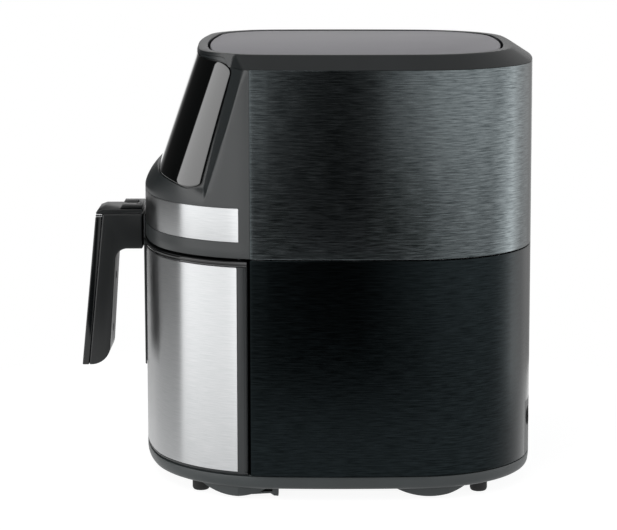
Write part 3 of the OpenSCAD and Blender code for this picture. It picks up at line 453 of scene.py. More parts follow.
def laid(obj, place, way):
    """Lays a piece that was turned about the body's axis along Y: way 1 points its top to +Y, and
    place (x, y, z) is where its foot's middle goes."""
    x, y, z = (c * MM for c in place)
    for v in obj.data.vertices:
        off = v.co.y - BODY_SHIFT * MM
        v.co = (v.co.x + x, y + BODY_SHIFT * MM + way * v.co.z, z - way * off)
    return obj


def bevelled(obj, width, segments=3, angle=40):
    """Rounds an object's sharp edges by width millimetres and keeps its flats flat."""
    mod = obj.modifiers.new("bevel", "BEVEL")
    mod.width, mod.segments = width * MM, segments
    mod.limit_method, mod.angle_limit = "ANGLE", math.radians(angle)
    mod.harden_normals = False
    mod = obj.modifiers.new("normals", "WEIGHTED_NORMAL")
    mod.keep_sharp = True
    settle(obj)
    return obj


def across(name, drawing, half, x=0.0):
    """Extrudes a drawing of (y, z) by half to both sides of x."""
    return stack(name, [np.array([(x + side, y, z) for y, z in drawing]) for side in (-half, half)])


# --- Materials ---

def colour(hex_code, share=1.0):
    """An sRGB hex value as linear colour, made darker or lighter by share."""
    out = []
    for i in (0, 2, 4):
        c = int(hex_code[i:i + 2], 16) / 255
        out.append(share * (c / 12.92 if c <= 0.04045 else ((c + 0.055) / 1.055) ** 2.4))
    return (*out, 1.0)


def grey(v):
    return (v, v, v, 1)


def add(tree, kind, settings=None, **links):
    """Adds a shader node. Settings name attributes (in small letters) or input sockets. Links name
    input sockets, with _ for a space or i and a number, and give an output socket."""
    node = tree.nodes.new(kind)
    for key, value in (settings or {}).items():
        if isinstance(key, str) and key[0].islower():
            setattr(node, key, value)
    for key, value in (settings or {}).items():
        if not (isinstance(key, str) and key[0].islower()):
            node.inputs[key].default_value = value
    for key, value in links.items():
        name = int(key[1:]) if key[0] == "i" and key[1:].isdigit() else key.replace("_", " ")
        tree.links.new(value, node.inputs[name])
    return node


def maths(tree, operation, a, b):
    """A maths node's result from two output sockets."""
    return add(tree, "ShaderNodeMath", {"operation": operation}, i0=a, i1=b).outputs[0]


def mapped(tree, value, start, end, low=0.0, high=1.0, kind="LINEAR"):
    """Takes value's stretch from start to end over to low and high."""
    return add(tree, "ShaderNodeMapRange", {"interpolation_type": kind, "From Min": start, "From Max": end,
               "To Min": low, "To Max": high}, Value=value).outputs[0]


def noise(tree, place, size_mm, detail):
    """Noise whose grains measure about size_mm."""
    return add(tree, "ShaderNodeTexNoise", {"Scale": 1 / (size_mm * MM), "Detail": detail},
               Vector=place).outputs["Fac"]


def ramp(tree, value, stops):
    """Colours a value by stops of (place, colour)."""
    node = add(tree, "ShaderNodeValToRGB", Fac=value)
    elements = node.color_ramp.elements
    while len(elements) < len(stops):
        elements.new(0.5)
    for element, (place, rgba) in zip(elements, stops):
        element.position, element.color = place, rgba
    return node.outputs[0]


class Surface:
    """A material with one principled shader; sockets are its constant inputs."""

    def __init__(self, name, **sockets):
        self.material = bpy.data.materials.new(name)
        self.material.use_nodes = True
        self.tree = self.material.node_tree
        self.tree.nodes.clear()
        self.shader = add(self.tree, "ShaderNodeBsdfPrincipled",
                          {k.replace("_", " "): v for k, v in sockets.items()})
        self.out = add(self.tree, "ShaderNodeOutputMaterial", Surface=self.shader.outputs[0])

    def place(self):
        return add(self.tree, "ShaderNodeTexCoord").outputs["Object"]

    def tone(self, pattern, low, high, start=0.3, end=0.7):
        """Runs the base colour from low to high over the pattern."""
        tone = ramp(self.tree, pattern, [(start, low), (end, high)])
        self.tree.links.new(tone, self.shader.inputs["Base Color"])

    def shine(self, pattern, roughness, spread):
        """Varies the roughness by spread to both sides over the pattern."""
        rough = mapped(self.tree, pattern, 0.3, 0.7, roughness - spread, roughness + spread)
        self.tree.links.new(rough, self.shader.inputs["Roughness"])

    def relief(self, pattern, strength, depth_mm):
        """Lets the pattern stand out by depth_mm."""
        bump = add(self.tree, "ShaderNodeBump", {"Strength": strength, "Distance": depth_mm * MM},
                   Height=pattern)
        self.tree.links.new(bump.outputs[0], self.shader.inputs["Normal"])


def moulded(name, hex_code, roughness=0.45, grain_mm=0.35, depth_mm=0.02, tint=0.12, **more):
    """Moulded plastic: a fine spark-eroded grain, with faint wide patches in its colour."""
    it = Surface(name, Roughness=roughness, IOR=PLASTIC_IOR, **more)
    place = it.place()
    it.tone(noise(it.tree, place, 30, 2.0), colour(hex_code, 1 - tint), colour(hex_code, 1 + tint))
    it.relief(noise(it.tree, place, grain_mm, 2.0), 0.35, depth_mm)
    return it.material


def gloss(name, hex_code, roughness=0.06, **more):
    """Glossy moulding: a hard, nearly even surface with a faint flow ripple."""
    it = Surface(name, Roughness=roughness, IOR=PLASTIC_IOR, **more)
    flow = noise(it.tree, it.place(), 20, 1.0)
    it.tone(flow, colour(hex_code, 0.9), colour(hex_code))
    it.relief(flow, 0.3, 0.01)
    return it.material


def plain_metal(name, hex_code, roughness=0.3, speck_mm=0.8, spread=0.08):
    """Rolled or ground metal: a close mottle in its shine."""
    it = Surface(name, Metallic=1.0)
    mottle = noise(it.tree, it.place(), speck_mm, 3.0)
    it.tone(mottle, colour(hex_code, 0.86), colour(hex_code))
    it.shine(mottle, roughness, spread)
    return it.material


def brushed(name, dark, light, roughness, line_mm, length_mm, depth_mm):
    """Brushed sheet: long level scratches, so that light smears upright and stays crisp sideways."""
    it = Surface(name, Metallic=1.0, Anisotropic=1.0, Anisotropic_Rotation=0.25)
    place = add(it.tree, "ShaderNodeUVMap", {"uv_map": "Sheet"}).outputs[0]
    scale = add(it.tree, "ShaderNodeMapping", {"Scale": (1 / (length_mm * MM), 1 / (line_mm * MM), 1)},
                Vector=place)
    lines = add(it.tree, "ShaderNodeTexNoise", {"Scale": 1.0, "Detail": 4.0, "Roughness": 0.65},
                Vector=scale.outputs[0]).outputs["Fac"]
    it.tone(lines, colour(dark), colour(light), 0.32, 0.68)
    it.shine(lines, roughness, 0.04)
    it.relief(lines, 0.5, depth_mm)
    tangent = add(it.tree, "ShaderNodeTangent", {"direction_type": "UV_MAP", "uv_map": "Sheet"})
    it.tree.links.new(tangent.outputs[0], it.shader.inputs["Tangent"])
    return it.material


PLASTIC_IOR = 1.5
# Nearly black sheet with close scratches, a cool sheen only where a wall lights it
BRUSHED_BLACK = brushed("black_brushed_steel", "0f1314", "22282a", 0.20, 0.9, 14, 0.012)
# Dark sheet whose scratches read as grey streaks
BRUSHED_DARK = brushed("dark_brushed_steel", "3a4042", "747b7d", 0.17, 0.9, 14, 0.014)
# Pale satin steel with hardly visible lines and a soft upright glow
BRUSHED_STEEL = brushed("brushed_stainless_steel", "aaacad", "bcbdbe", 0.32, 0.6, 16, 0.003)
# Dark moulding with a half-matt, slightly cool sheen
SLATE_ABS = moulded("slate_moulded_abs", "1b1f20", 0.34)
# Black moulding, duller than the outer ones
BLACK_ABS = moulded("black_moulded_abs", "14181a", 0.45)
# Dark cover that shows a soft band of light on its chamfer
COVER_ABS = moulded("dark_cover_abs", "181b1c", 0.34)
# Grey-black base, matt and a step lighter than the body
BASE_ABS = moulded("base_moulded_abs", "2f3435", 0.45)
# Mid grey inset, even and softly matt
TOP_ABS = moulded("top_panel_abs", "7d7b81", 0.38, 0.5, 0.01, 0.03)
# Deep black grip with a smooth, hand-worn sheen
GRIP_ABS = moulded("grip_moulded_abs", "0b0e0f", 0.32)
# Mirror-like black glass look under a clear coat
GLOSS_BLACK = gloss("black_glazed_panel", "040505", 0.05, Coat_Weight=1.0, Coat_Roughness=0.04)
# Glossy black ridge with sharp highlights
LIP_BLACK = gloss("black_gloss_lip", "0c0d0e", 0.12)
# Glossy black strip, a little softer than glass
STRIP_BLACK = gloss("black_gloss_strip", "0a0c0d", 0.10)
# Dull black rubber that swallows light
FOOT_RUBBER = moulded("black_foot_rubber", "0b0c0c", 0.75, 0.5, 0.03)
# Bright thin line with a near-mirror shine
CHROME = plain_metal("bright_chrome", "e9eaeb", 0.12, 2.0, 0.04)
# Dark coating with a fine orange-peel and a thin shiny film
NON_STICK = moulded("non_stick_coat", "17191a", 0.34, 0.25, 0.03, Coat_Weight=0.3, Coat_Roughness=0.25)
# Dark red button that stands out under its cover
BUTTON_ABS = moulded("button_abs", "8f2e28", 0.4)
# Painted floor sheet with a gentle sheen
PAINTED_DECK = moulded("black_painted_sheet", "121415", 0.36, 0.6, 0.015)
# Matt, fibrous black nylon
FRAME_NYLON = moulded("black_glass_filled_nylon", "15171a", 0.55, 0.4, 0.04)
# Milky off-white nylon that glows a little at thin edges
FAN_NYLON = moulded("natural_nylon", "cfccc2", 0.5, 0.4, 0.02, Subsurface_Weight=0.1,
                    Subsurface_Radius=(1e-3,) * 3)
# Brown pressed resin with clouded colour
PHENOLIC = moulded("brown_phenolic", "43281a", 0.4, 0.6, 0.03, 0.25)
# Green lacquered board, shiny on top
CIRCUIT_BOARD = moulded("green_circuit_board", "1d5638", 0.3, 0.25, 0.01, 0.08, Coat_Weight=0.6,
                        Coat_Roughness=0.12)
# Dull grey pressed magnet
FERRITE = moulded("grey_ferrite", "37383b", 0.6, 0.3, 0.04)
# Pale silvery sheet with a soft spangle
ALUMINISED = plain_metal("aluminised_sheet_steel", "b7b9bb", 0.34, 2.5)
# Grey drawn wire and pins with a tight shine
SPRING_STEEL = plain_metal("drawn_spring_wire", "9b9ea1", 0.24, 0.4)
# Slightly bluish plated screw, softly shiny
SCREW_STEEL = plain_metal("zinc_plated_screw", "9a9da0", 0.32, 0.5)
# Light stamped aluminium with a satin face
FAN_ALUMINIUM = plain_metal("stamped_aluminium", "c6c9cb", 0.3, 1.2)
# Dark grey laminated iron, nearly matt
CORE_IRON = plain_metal("laminated_core_iron", "686c70", 0.45, 0.5)
# Dull golden bush with open grain
BEARING_BRONZE = plain_metal("sintered_bronze", "9a7440", 0.42, 0.3)
# Brown-grey tube, dulled by heat
HEATER_SHEATH = plain_metal("oxidised_heater_sheath", "514b44", 0.5, 1.5)
# Bright smooth wire
BRIGHT_WIRE = plain_metal("polished_steel_wire", "c9cccd", 0.2, 1.0)


# --- Front moulding, cover and panel ---

PIVOT = (0.0, SEAM_Y)       # the front's sections are drawn as reach from here
EDGE_N = (math.cos(EDGE_LEAN) * math.cos(EDGE_TURN), -math.cos(EDGE_LEAN) * math.sin(EDGE_TURN),
          math.sin(EDGE_LEAN))
EDGE_FILLET = 2.0           # blends the control face into the chamfer beside it
RIM_BLEND = 5.0             # rounds the turn from the rim's chamfer to the one beside the face
SIDE_SEEN = math.radians(26)    # past this angle the front is the control face alone
SHOULDER_ROWS = 22
FACE_ROWS = 44


def reach_at(theta, arcs, sign):
    """Distance from PIVOT to a quarter's arcs at an angle from +X, in front (sign -1) or behind."""
    c_side, s = math.cos(theta), math.sin(theta)
    d = np.array([abs(c_side), s])
    best = None
    for c, r, a0, a1 in arcs:
        rel = c - np.array([0.0, PIVOT[1] * sign])
        b = d @ rel
        hit = b + math.sqrt(max(b * b - rel @ rel + r * r, 0.0))
        p = d * hit - rel
        t = math.atan2(p[1], p[0])
        if a0 - 1e-6 <= t <= a1 + 1e-6:
            return hit
        miss = min(abs(t - a0), abs(t - a1))
        if best is None or miss < best[0]:
            best = (miss, hit)
    return best[1]


def edge_reach(theta, z, inset=0.0):
    """Distance from PIVOT to the chamfer beside the control face."""
    nx, ny, nz = EDGE_N
    d = nx * EDGE_AT[0] + ny * EDGE_AT[1] + nz * EDGE_AT[2] - inset
    slope = nx * abs(math.cos(theta)) - ny * math.sin(theta)
    return (d - ny * PIVOT[1] - nz * z) / slope


def smooth_min(a, b, k):
    """The lesser of two lengths, blended where they differ by less than k."""
    h = max(0.0, 1 - abs(a - b) / k)
    return min(a, b) - h * h * k / 4


def rim_lean(z):
    """How far the rim's chamfer has come in at height z."""
    return max(0.0, (z - RIM_Z) * RIM_IN / (BODY_H - RIM_Z))


def side_reach(theta, z, inset=0.0):
    """Distance from PIVOT to the body's side with the rim's and the edge's chamfers taken off."""
    rim = reach_at(theta, front_arcs(inset + rim_lean(z)), -1)
    blend = RIM_BLEND * min(1.0, max(0.0, (z - RIM_Z + 12) / 12)) + 0.8
    return smooth_min(rim, edge_reach(theta, z, inset), blend)


@functools.lru_cache(maxsize=None)
def valley(z):
    """Angles at which the edge chamfer leaves the side and meets the control face at height z."""
    def crossing(arcs):
        low, high = 0.0, math.radians(40)
        for _ in range(24):
            middle = (low + high) / 2
            if edge_reach(middle, z) < reach_at(middle, arcs, -1):
                high = middle
            else:
                low = middle
        return high

    return max(crossing(front_arcs(rim_lean(z))), 0.005), crossing(face_arcs(z))


def front_reach(theta, z, base, inset=0.0, strength=1.0):
    """Reach of the whole front: the control face (base) blended with the side, where it stands out."""
    if min(theta, math.pi - theta) > SIDE_SEEN:
        return base
    return -smooth_min(-base, -side_reach(theta, z, inset), EDGE_FILLET * strength)


def front_columns(z):
    """Angles of the front's columns, closest where its chamfer turns at height z."""
    outer, inner = valley(max(z, SHOULDER_TOP - 4))
    stops = [(0.0, 0), (outer, 8), (outer + 0.012, 5), (inner - 0.03, 6), (inner + 0.05, 16),
             (math.radians(30), 12), (math.radians(62), 26), (math.pi / 2, 22)]
    half, last = [0.0], 0.0
    for place, n in stops[1:]:
        place = max(place, last + 0.002)
        half += [last + (place - last) * (i + 1) / n for i in range(n)]
        last = place
    return np.array(half + [math.pi - t for t in half[-2::-1]])


def shoulder_row(t, inset=0.0):
    """The shoulder's ring between the body's outline (t = 0) and the control face (t = 1)."""
    w = t ** 1.7
    side = RIM_IN * w + inset
    reach = -FRONT_Y + (face_reach(SHOULDER_TOP) + FRONT_Y) * w - inset
    bow_r = 1 / (1 / FRONT_BOW_R + (1 / FACE_BOW_R - 1 / FRONT_BOW_R) * w) - inset
    corner_r = FRONT_CORNER_R * (1 - w) + FACE_CORNER_R * w - inset
    ring = half_turn(quarter_arcs(BODY_W / 2 - side, reach, SIDE_BOW_R - side, bow_r, corner_r), 0.0, -1)
    rise = math.tan(FACE_LEAN)
    hip = face_reach(SHOULDER_TOP) - FACE_CORNER_R * 0.65
    over = rise * (-ring[:, 1] - hip)
    up = w * np.logaddexp(0, over / 2.0) * 2.0 / (1 + rise * rise)
    return np.column_stack([ring[:, 0], ring[:, 1] + rise * up * w, SHOULDER_Z + SHOULDER_RISE * t + up])


def seen_from_pivot(row, thetas):
    """Reach and height of a row of points at each angle."""
    theta = np.arctan2(-(row[:, 1] - PIVOT[1]), row[:, 0])
    reach = np.hypot(row[:, 0], row[:, 1] - PIVOT[1])
    keep = theta > -0.6
    order = np.argsort(theta[keep])
    return (np.interp(thetas, theta[keep][order], reach[keep][order]),
            np.interp(thetas, theta[keep][order], row[keep, 2][order]))


def row_points(thetas, reach, z):
    """A row of points at each angle's reach from PIVOT, at one height or at one each."""
    return np.column_stack([np.cos(thetas) * reach, PIVOT[1] - np.sin(thetas) * reach,
                            np.broadcast_to(z, thetas.shape)])


def wall_row(inset, z):
    """A level row of the front's plain wall."""
    thetas = front_columns(SHOULDER_TOP)
    return row_points(thetas, [reach_at(t, front_arcs(inset), -1) for t in thetas], z)


def cover_split(theta):
    """Height at which the top cover takes over from the front moulding."""
    turn = min(theta, math.pi - theta)
    _, inner = valley(RIM_Z)
    t = np.clip((turn - inner - 0.01) / 0.05, 0, 1)
    return RIM_Z + (FACE_TOP - RIM_Z) * t * t * (3 - 2 * t)


def front_rows(inset, levels):
    """Rows of the front moulding's surface, moved in by inset: the wall, the shoulder, the face."""
    rows = [wall_row(inset, z) for z in levels]
    thetas = front_columns(SHOULDER_TOP)
    for t in [i / SHOULDER_ROWS for i in range(1, SHOULDER_ROWS + 1)]:
        base, foot = seen_from_pivot(shoulder_row(t, inset), thetas)
        reach = [front_reach(a, h, b, inset, t) for a, h, b in zip(thetas, foot, base)]
        rows.append(row_points(thetas, reach, foot))
    for s in [i / FACE_ROWS for i in range(1, FACE_ROWS + 1)]:
        columns = front_columns(SHOULDER_TOP + (RIM_Z - SHOULDER_TOP) * s)
        start = np.interp(columns, thetas, foot)
        z = start + (np.array([cover_split(a) for a in columns]) - COVER_LAP - start) * s
        reach = [front_reach(a, h, reach_at(a, face_arcs(h, inset), -1), inset)
                 for a, h in zip(columns, z)]
        rows.append(row_points(columns, reach, z))
    return rows


def front_fascia():
    """The moulded front: one sheet folded over at its top and bottom edges into a closed shell."""
    low, upper = UPPER_Z, (BAND_Z[0] + 6.2, SHOULDER_Z - 11, SHOULDER_Z - 2)
    foot = [(LEDGE_W, low + WALL), (LEDGE_W, low), (0.6, low), (0.18, low + 0.12)]
    rows = [wall_row(inset, z) for inset, z in foot]
    rows += front_rows(0.0, (low + 0.5, low + 6, *upper))
    rows += front_rows(FASCIA_WALL, (low + WALL, *upper))[::-1]
    for row in rows:
        row[:, 1] = np.minimum(row[:, 1], SEAM_Y - TOUCH)
    obj = piece("fascia_front", np.concatenate(rows), tube_faces(len(rows), len(rows[0])), 40)
    low, high = BAND_Z[0] - 0.25, BAND_Z[1] + 0.25
    groove = [(-2, low), (1.4, low), (1.4, high), (-2, high)]
    cut(obj, swept("groove", groove, front_path(BAND_SEAM_Y + 0.3)), shade=40)
    return cut(obj, window_block("window", PANEL_GAP, -3.0, PANEL_T + 0.2), shade=40)


# The panel's window is drawn in the leaning face's own frame: x across, v up the slope
HEAD_LEVEL = 0.7            # 1 would keep the panel's upper edge level all the way round
PANEL_H = (FACE_TOP - PANEL_HEAD - SHOULDER_TOP) / math.cos(FACE_LEAN) - PANEL_FOOT


def face_points(x, v):
    """Points of the control face at x across and v up the slope."""
    x, v = np.asarray(x, float), np.asarray(v, float)
    w = np.zeros_like(x)
    for _ in range(4):
        z = SHOULDER_TOP + v * math.cos(FACE_LEAN) + w * math.sin(FACE_LEAN)
        reach = face_reach(z)
        side_c, end_c = BODY_W / 2 - RIM_IN - (SIDE_BOW_R - RIM_IN), reach - FACE_BOW_R
        ds, de = SIDE_BOW_R - RIM_IN - FACE_CORNER_R, FACE_BOW_R - FACE_CORNER_R
        gap = np.hypot(side_c, end_c)
        ux, uy = -side_c / gap, end_c / gap
        part = (ds * ds - de * de + gap * gap) / (2 * gap)
        off = np.sqrt(ds * ds - part * part)
        cx, cy = side_c + part * ux - off * uy, part * uy + off * ux
        turn = np.arctan2(cy - end_c, cx)
        bow = end_c + np.sqrt(np.maximum(FACE_BOW_R ** 2 - x * x, 0))
        corner = cy + np.sqrt(np.maximum(FACE_CORNER_R ** 2 - (np.abs(x) - cx) ** 2, 0))
        y = np.where(np.abs(x) <= FACE_BOW_R * np.cos(turn), bow, corner)
        w = (y - reach) * math.cos(FACE_LEAN)
    return np.stack([x, -y, z], -1)


def face_depth(x, v, depth):
    """Points below (or, with a negative depth, above) the control face, along its normal."""
    x, v = np.asarray(x, float), np.asarray(v, float)
    du = face_points(x + 0.05, v) - face_points(x - 0.05, v)
    dv = face_points(x, v + 0.05) - face_points(x, v - 0.05)
    n = np.cross(du, dv)
    return face_points(x, v) - depth * n / np.linalg.norm(n, axis=-1, keepdims=True)


def window_grid(grow, columns=96, rows=40):
    """Places (x, v) that fill the panel's rounded window, wider by grow, row by row, and the
    number of columns and rows."""
    half, tall, r = PANEL_HALF_W + grow, PANEL_H + 2 * grow, PANEL_CORNER_R + grow
    straight = half - r
    turn = r * np.sin(np.linspace(0, math.pi / 2, 11)[1:])
    inner = straight * np.sin(np.linspace(-math.pi / 2, math.pi / 2, columns + 1))
    xs = np.concatenate([-straight - turn[::-1], inner, straight + turn])
    over = np.maximum(0.0, np.abs(xs) - straight)
    drop = r - np.sqrt(np.maximum(r * r - over * over, 0.0))
    fall = face_points(0, tall)[1] - face_points(xs, np.full(len(xs), tall))[:, 1]
    low = PANEL_FOOT - grow + drop
    high = PANEL_FOOT - grow + tall - drop - fall * math.sin(FACE_LEAN) * HEAD_LEVEL
    share = np.linspace(0, 1, rows + 1)[:, None]
    v = low + (high - low) * share
    return np.stack([np.broadcast_to(xs, v.shape).ravel(), v.ravel()], 1), len(xs), rows + 1


def window_block(name, grow, low, high, edge=0.0, shade=32):
    """A slab that follows the control face inside the window, from depth low to depth high, with
    its outer edge rounded."""
    layers = [(grow - edge * 0.3, low + edge * 0.3), (grow, low + edge)] if edge else []
    layers += [(grow, high)]
    grid, nx, ny = window_grid(grow - edge)
    v = [face_depth(grid[:, 0], grid[:, 1], low)]
    faces = grid_faces(ny, nx)
    rim = [*range(nx), *range(2 * nx - 1, ny * nx, nx), *range(ny * nx - 2, (ny - 1) * nx - 1, -1),
           *range((ny - 2) * nx, 0, -nx)]
    m, last, start = len(rim), rim, nx * ny
    for g, depth in layers:
        at = window_grid(g)[0][rim]
        v.append(face_depth(at[:, 0], at[:, 1], depth))
        ring = list(range(start, start + m))
        start += m
        faces += [(last[i], last[(i + 1) % m], ring[(i + 1) % m], ring[i]) for i in range(m)]
        last = ring
    grid = window_grid(grow)[0]
    v.append(face_depth(grid[:, 0], grid[:, 1], high))
    shared = dict(zip([start + i for i in rim], last))
    faces += [tuple(shared.get(start + i, start + i) for i in f[::-1]) for f in grid_faces(ny, nx)]
    return piece(name, np.concatenate(v), faces, shade)


def top_cover():
    """The cover: the rim's chamfer all round, its land and the bed that the top panel lies in."""
    half = front_columns(RIM_Z)
    thetas = np.concatenate([half, [math.pi + math.pi * i / 200 for i in range(1, 200)]])

    def behind(theta, inset):
        """Reach of the plain outline at an angle behind the pivot."""
        side = reach_at(theta, front_arcs(inset), -1)
        past_middle = -math.sin(theta) * side > -PIVOT[1]
        return reach_at(-theta, back_arcs(inset), 1) if past_middle else side

    def around(z, theta):
        """Reach of the rim's chamfer at height z."""
        if theta > math.pi:
            return behind(theta, rim_lean(z))
        return front_reach(theta, z, reach_at(theta, face_arcs(z), -1))

    def land(theta, inset, z=BODY_H):
        """Reach of the control face's outline at height z, carried on round the back."""
        if theta > math.pi:
            return behind(theta, RIM_IN + inset)
        return reach_at(theta, face_arcs(z, inset), -1)

    split = np.array([cover_split(t) if t <= math.pi else RIM_Z for t in thetas]) + 0.15

    def hidden(z, back):
        """The cover's foot: under the front moulding's head in front, and inside the wrap behind."""
        return [land(t, 3.0, FACE_TOP) if t <= math.pi and cover_split(t) > RIM_Z + 1
                else around(h, t) - back for t, h in zip(thetas, z)]

    low = np.full(len(thetas), RIM_Z + 0.2)
    rows = [row_points(thetas, hidden(low, 0.6), low), row_points(thetas, hidden(split, 0.05), split)]
    for s in [0.0, 0.04, 0.1] + [0.1 + 0.84 * i / 14 for i in range(1, 15)]:
        z = split + 0.02 + (BODY_H - 0.35 - split) * s
        rows.append(row_points(thetas, [around(h, t) for t, h in zip(thetas, z)], z))
    top = np.array([around(BODY_H, t) for t in thetas])
    inner = np.array([land(t, LAND_W) for t in thetas])
    for reach, z in ((top + 0.1, BODY_H - 0.12), (top - 0.5, BODY_H), (inner + 0.5, BODY_H),
                     (inner + 0.1, BODY_H - 0.15), (inner, BODY_H - 0.6), (inner, TOP_BED)):
        rows.append(row_points(thetas, reach, z))
    return stack("cover_top", rows, 35)


def top_panel():
    """The inset top panel, with a rounded edge beside its groove."""
    top, inset = BODY_H - 0.4, LAND_W + TOP_GAP
    section = [(0.3, TOP_BED), (0, TOP_BED + 0.3), (0, top - 0.8), (0.12, top - 0.35), (0.45, top - 0.08),
               (1.0, top)]
    return stack("panel_top", [ring_at(face_outline(BODY_H, inset + d), z) for d, z in section], 60)


# --- Wraps, base and vent ---

def upper_wrap():
    """The upper sheet with its inward ledge and the opening of the rear vent."""
    loop = rounded_profile([(0, UPPER_Z, 0.5), (0, RIM_Z, 0.35), (SHEET, RIM_Z, 0.2),
                            (SHEET, UPPER_Z + WALL, 0), (LEDGE_W, UPPER_Z + WALL, 0),
                            (LEDGE_W, UPPER_Z, 0)])
    obj = swept("wrap_upper", loop, back_path(SEAM_Y))
    low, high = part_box("rear_vent")
    return pocket(obj, high.x / MM + TOUCH, (60, FAR), (low.z / MM - TOUCH, high.z / MM + TOUCH))


def lower_wrap():
    """The lower sheet with its foot flange and the notch of the cord's inlet."""
    loop = rounded_profile([(0, BASE_TOP + 0.35, 0.3), (0, WAIST_Z, 0.7), (SHEET, WAIST_Z, 0.2),
                            (SHEET, BASE_TOP + SHEET, 0), (FLANGE_W, BASE_TOP + SHEET, 0),
                            (FLANGE_W, BASE_TOP, 0), (SHEET, BASE_TOP, 0)])
    obj = swept("wrap_lower", loop, back_path(SEAM_Y))
    low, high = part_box("cord_inlet")
    x, z = (low.x + high.x) / 2 / MM, (low.z + high.z) / 2 / MM
    return pocket(obj, 14, (90, FAR), (BASE_TOP - 1, z + 14), x)


def base_tray():
    """The base moulding: a rolled rim, cooling slots and recessed screw wells."""
    low = FOOT_H
    rim = [(4.0, low), (2.6, low + 0.25), (1.6, low + 0.9), (0.8, low + 1.9), (0.3, low + 3.4),
           (0, low + 5.5), (0, BASE_TOP - 0.9), (0.12, BASE_TOP - 0.55), (0.5, BASE_TOP - 0.4),
           (3.0, BASE_TOP - 0.4), (3.0, BASE_TOP - 0.05), (6, BASE_TOP - 0.05), (6, low + WALL)]
    obj = stack("tray_base", [ring_at(body_outline(i), z) for i, z in rim], 32)
    for y in [i * SLOT_STEP for i in range(-4, 5)]:
        pocket(obj, 45, (y - SLOT_W / 2, y + SLOT_W / 2), (low - 1, low + WALL + 1))
    for x, y in SCREW_PLACES:
        drill(obj, (x, y, low - 1), (x, y, low + 2.6), 3.6)
    return obj


def base_pad(middle, length, side):
    """A shallow bulge under the base, rounded like a boat's bottom."""
    r = (length * length / 4 + PAD_DROP * PAD_DROP) / (2 * PAD_DROP)
    half = math.degrees(math.asin(length / 2 / r))
    drawing = arc((middle, FOOT_H - PAD_DROP + r), r, 270 - half, 270 + half, 24)
    drawing += [(middle + length / 2, FOOT_H + 1), (middle - length / 2, FOOT_H + 1)]
    obj = across("pad", drawing, (PAD_X[1] - PAD_X[0]) / 2, side * sum(PAD_X) / 2)
    outline = body_outline(5.0)
    keep = stack("keep", [ring_at(outline, 0), ring_at(outline, FOOT_H + 0.6)])
    return cut(obj, keep, "INTERSECT")


def base_clip(side):
    """A clip's lug under the base, with the slot that it springs in."""
    (x0, x1), (y0, y1) = CLIP_X, CLIP_Y
    drawing = [(y0, FOOT_H + 0.5), (y0, 2.6), (y0 + 5, 2.9), (y1 - 6, 3.4), (y1 - 3.4, 1.6), (y1, 1.3),
               (y1, FOOT_H + 0.5)]
    obj = bevelled(across("clip", drawing, (x1 - x0) / 2, side * (x0 + x1) / 2), 0.5, 3)
    return pocket(obj, 3, (y0 + 3, y1 - 4.6), (4.8, 8.6), side * (x1 - 2))


def base_moulding():
    """The base with its pads and clips as one piece."""
    pads = [base_pad(middle, length, side) for middle, length in PADS for side in (1, -1)]
    return joined("tray_base", [base_tray(), *pads, base_clip(1), base_clip(-1)])


# --- Drawer front ---

def front_sheet(name, low, high, seam_y):
    """A steel sheet round the front, between two heights, with eased outer edges."""
    loop = rounded_profile([(0, low, 0.35), (0, high, 0.35), (SKIN_T, high, 0), (SKIN_T, low, 0)], 3)
    return swept(name, loop, front_path(seam_y))


def trim_band():
    """The steel band in the front moulding's groove."""
    return front_sheet("band_trim", *BAND_Z, BAND_SEAM_Y)


def drawer_skin():
    """The drawer's steel skin."""
    return slotted(front_sheet("skin_drawer", DRAWER_Z + 1.5, LIP_Z - 0.3, SKIN_SEAM_Y))


def slotted(obj):
    """Cuts the slots for the basket's prongs and the latch's toe."""
    for x in (PRONG_X, -PRONG_X):
        pocket(obj, PRONG_HALF, (FRONT_Y - 9, FRONT_Y + 26), (165.5, LIP_TOP + 1), x)
    return toe_slot(obj)


def toe_slot(obj):
    """Cuts the slot that the latch's toe comes through."""
    return pocket(obj, TOE_HALF, (FRONT_Y - 9, FRONT_Y + 8), (LIP_Z - 5, LIP_Z - 2.1))


def drawer_front():
    """The drawer front's outer shell, with a rolled edge beside the steel skin."""
    hollow, inward = SKIN_T + TOUCH, 20
    loop = [(hollow, DRAWER_Z + 1.3), (hollow, LIP_Z), (inward, LIP_Z), (inward, LIP_Z - WALL),
            (hollow + WALL, LIP_Z - WALL), (hollow + WALL, DRAWER_Z + WALL), (inward, DRAWER_Z + WALL),
            (inward, DRAWER_Z), (0.5, DRAWER_Z), (0.12, DRAWER_Z + 0.15), (0, DRAWER_Z + 0.5),
            (0, DRAWER_Z + 1.2)]
    obj = swept("front_drawer", loop, front_path(DRAWER_SEAM_Y))
    for side in (1, -1):
        cut(obj, drawer_stile(side), "UNION", 30)
    return slotted(obj)


def drawer_stile(side, roll=3.0, steps=8):
    """The flush upright beside the skin, rolled in towards the seam."""
    c, r, _, _ = front_arcs(0.0)[1]

    def at(y, inset):
        t = math.asin((-y - c[1]) / r)
        return np.array([side * (c[0] + (r - inset) * math.cos(t)), -(c[1] + (r - inset) * math.sin(t))])

    near = SKIN_SEAM_Y
    section = [at(near + 0.25, 0.3), at(near + 0.45, 0.05), at(near + 0.8, 0)]
    for i in range(1, steps + 1):
        t = math.pi / 2 * i / steps
        section.append(at(DRAWER_SEAM_Y - roll + roll * math.sin(t), roll * (1 - math.cos(t))))
    section += [at(DRAWER_SEAM_Y, 4.2), at(near - 2, 4.2), at(near - 2, 1.3), at(near + 0.25, 1.3)]
    section = np.array(section)[::side]
    return stack("stile", [ring_at(section, DRAWER_Z + 0.02), ring_at(section, LIP_Z - 0.02)], 30)


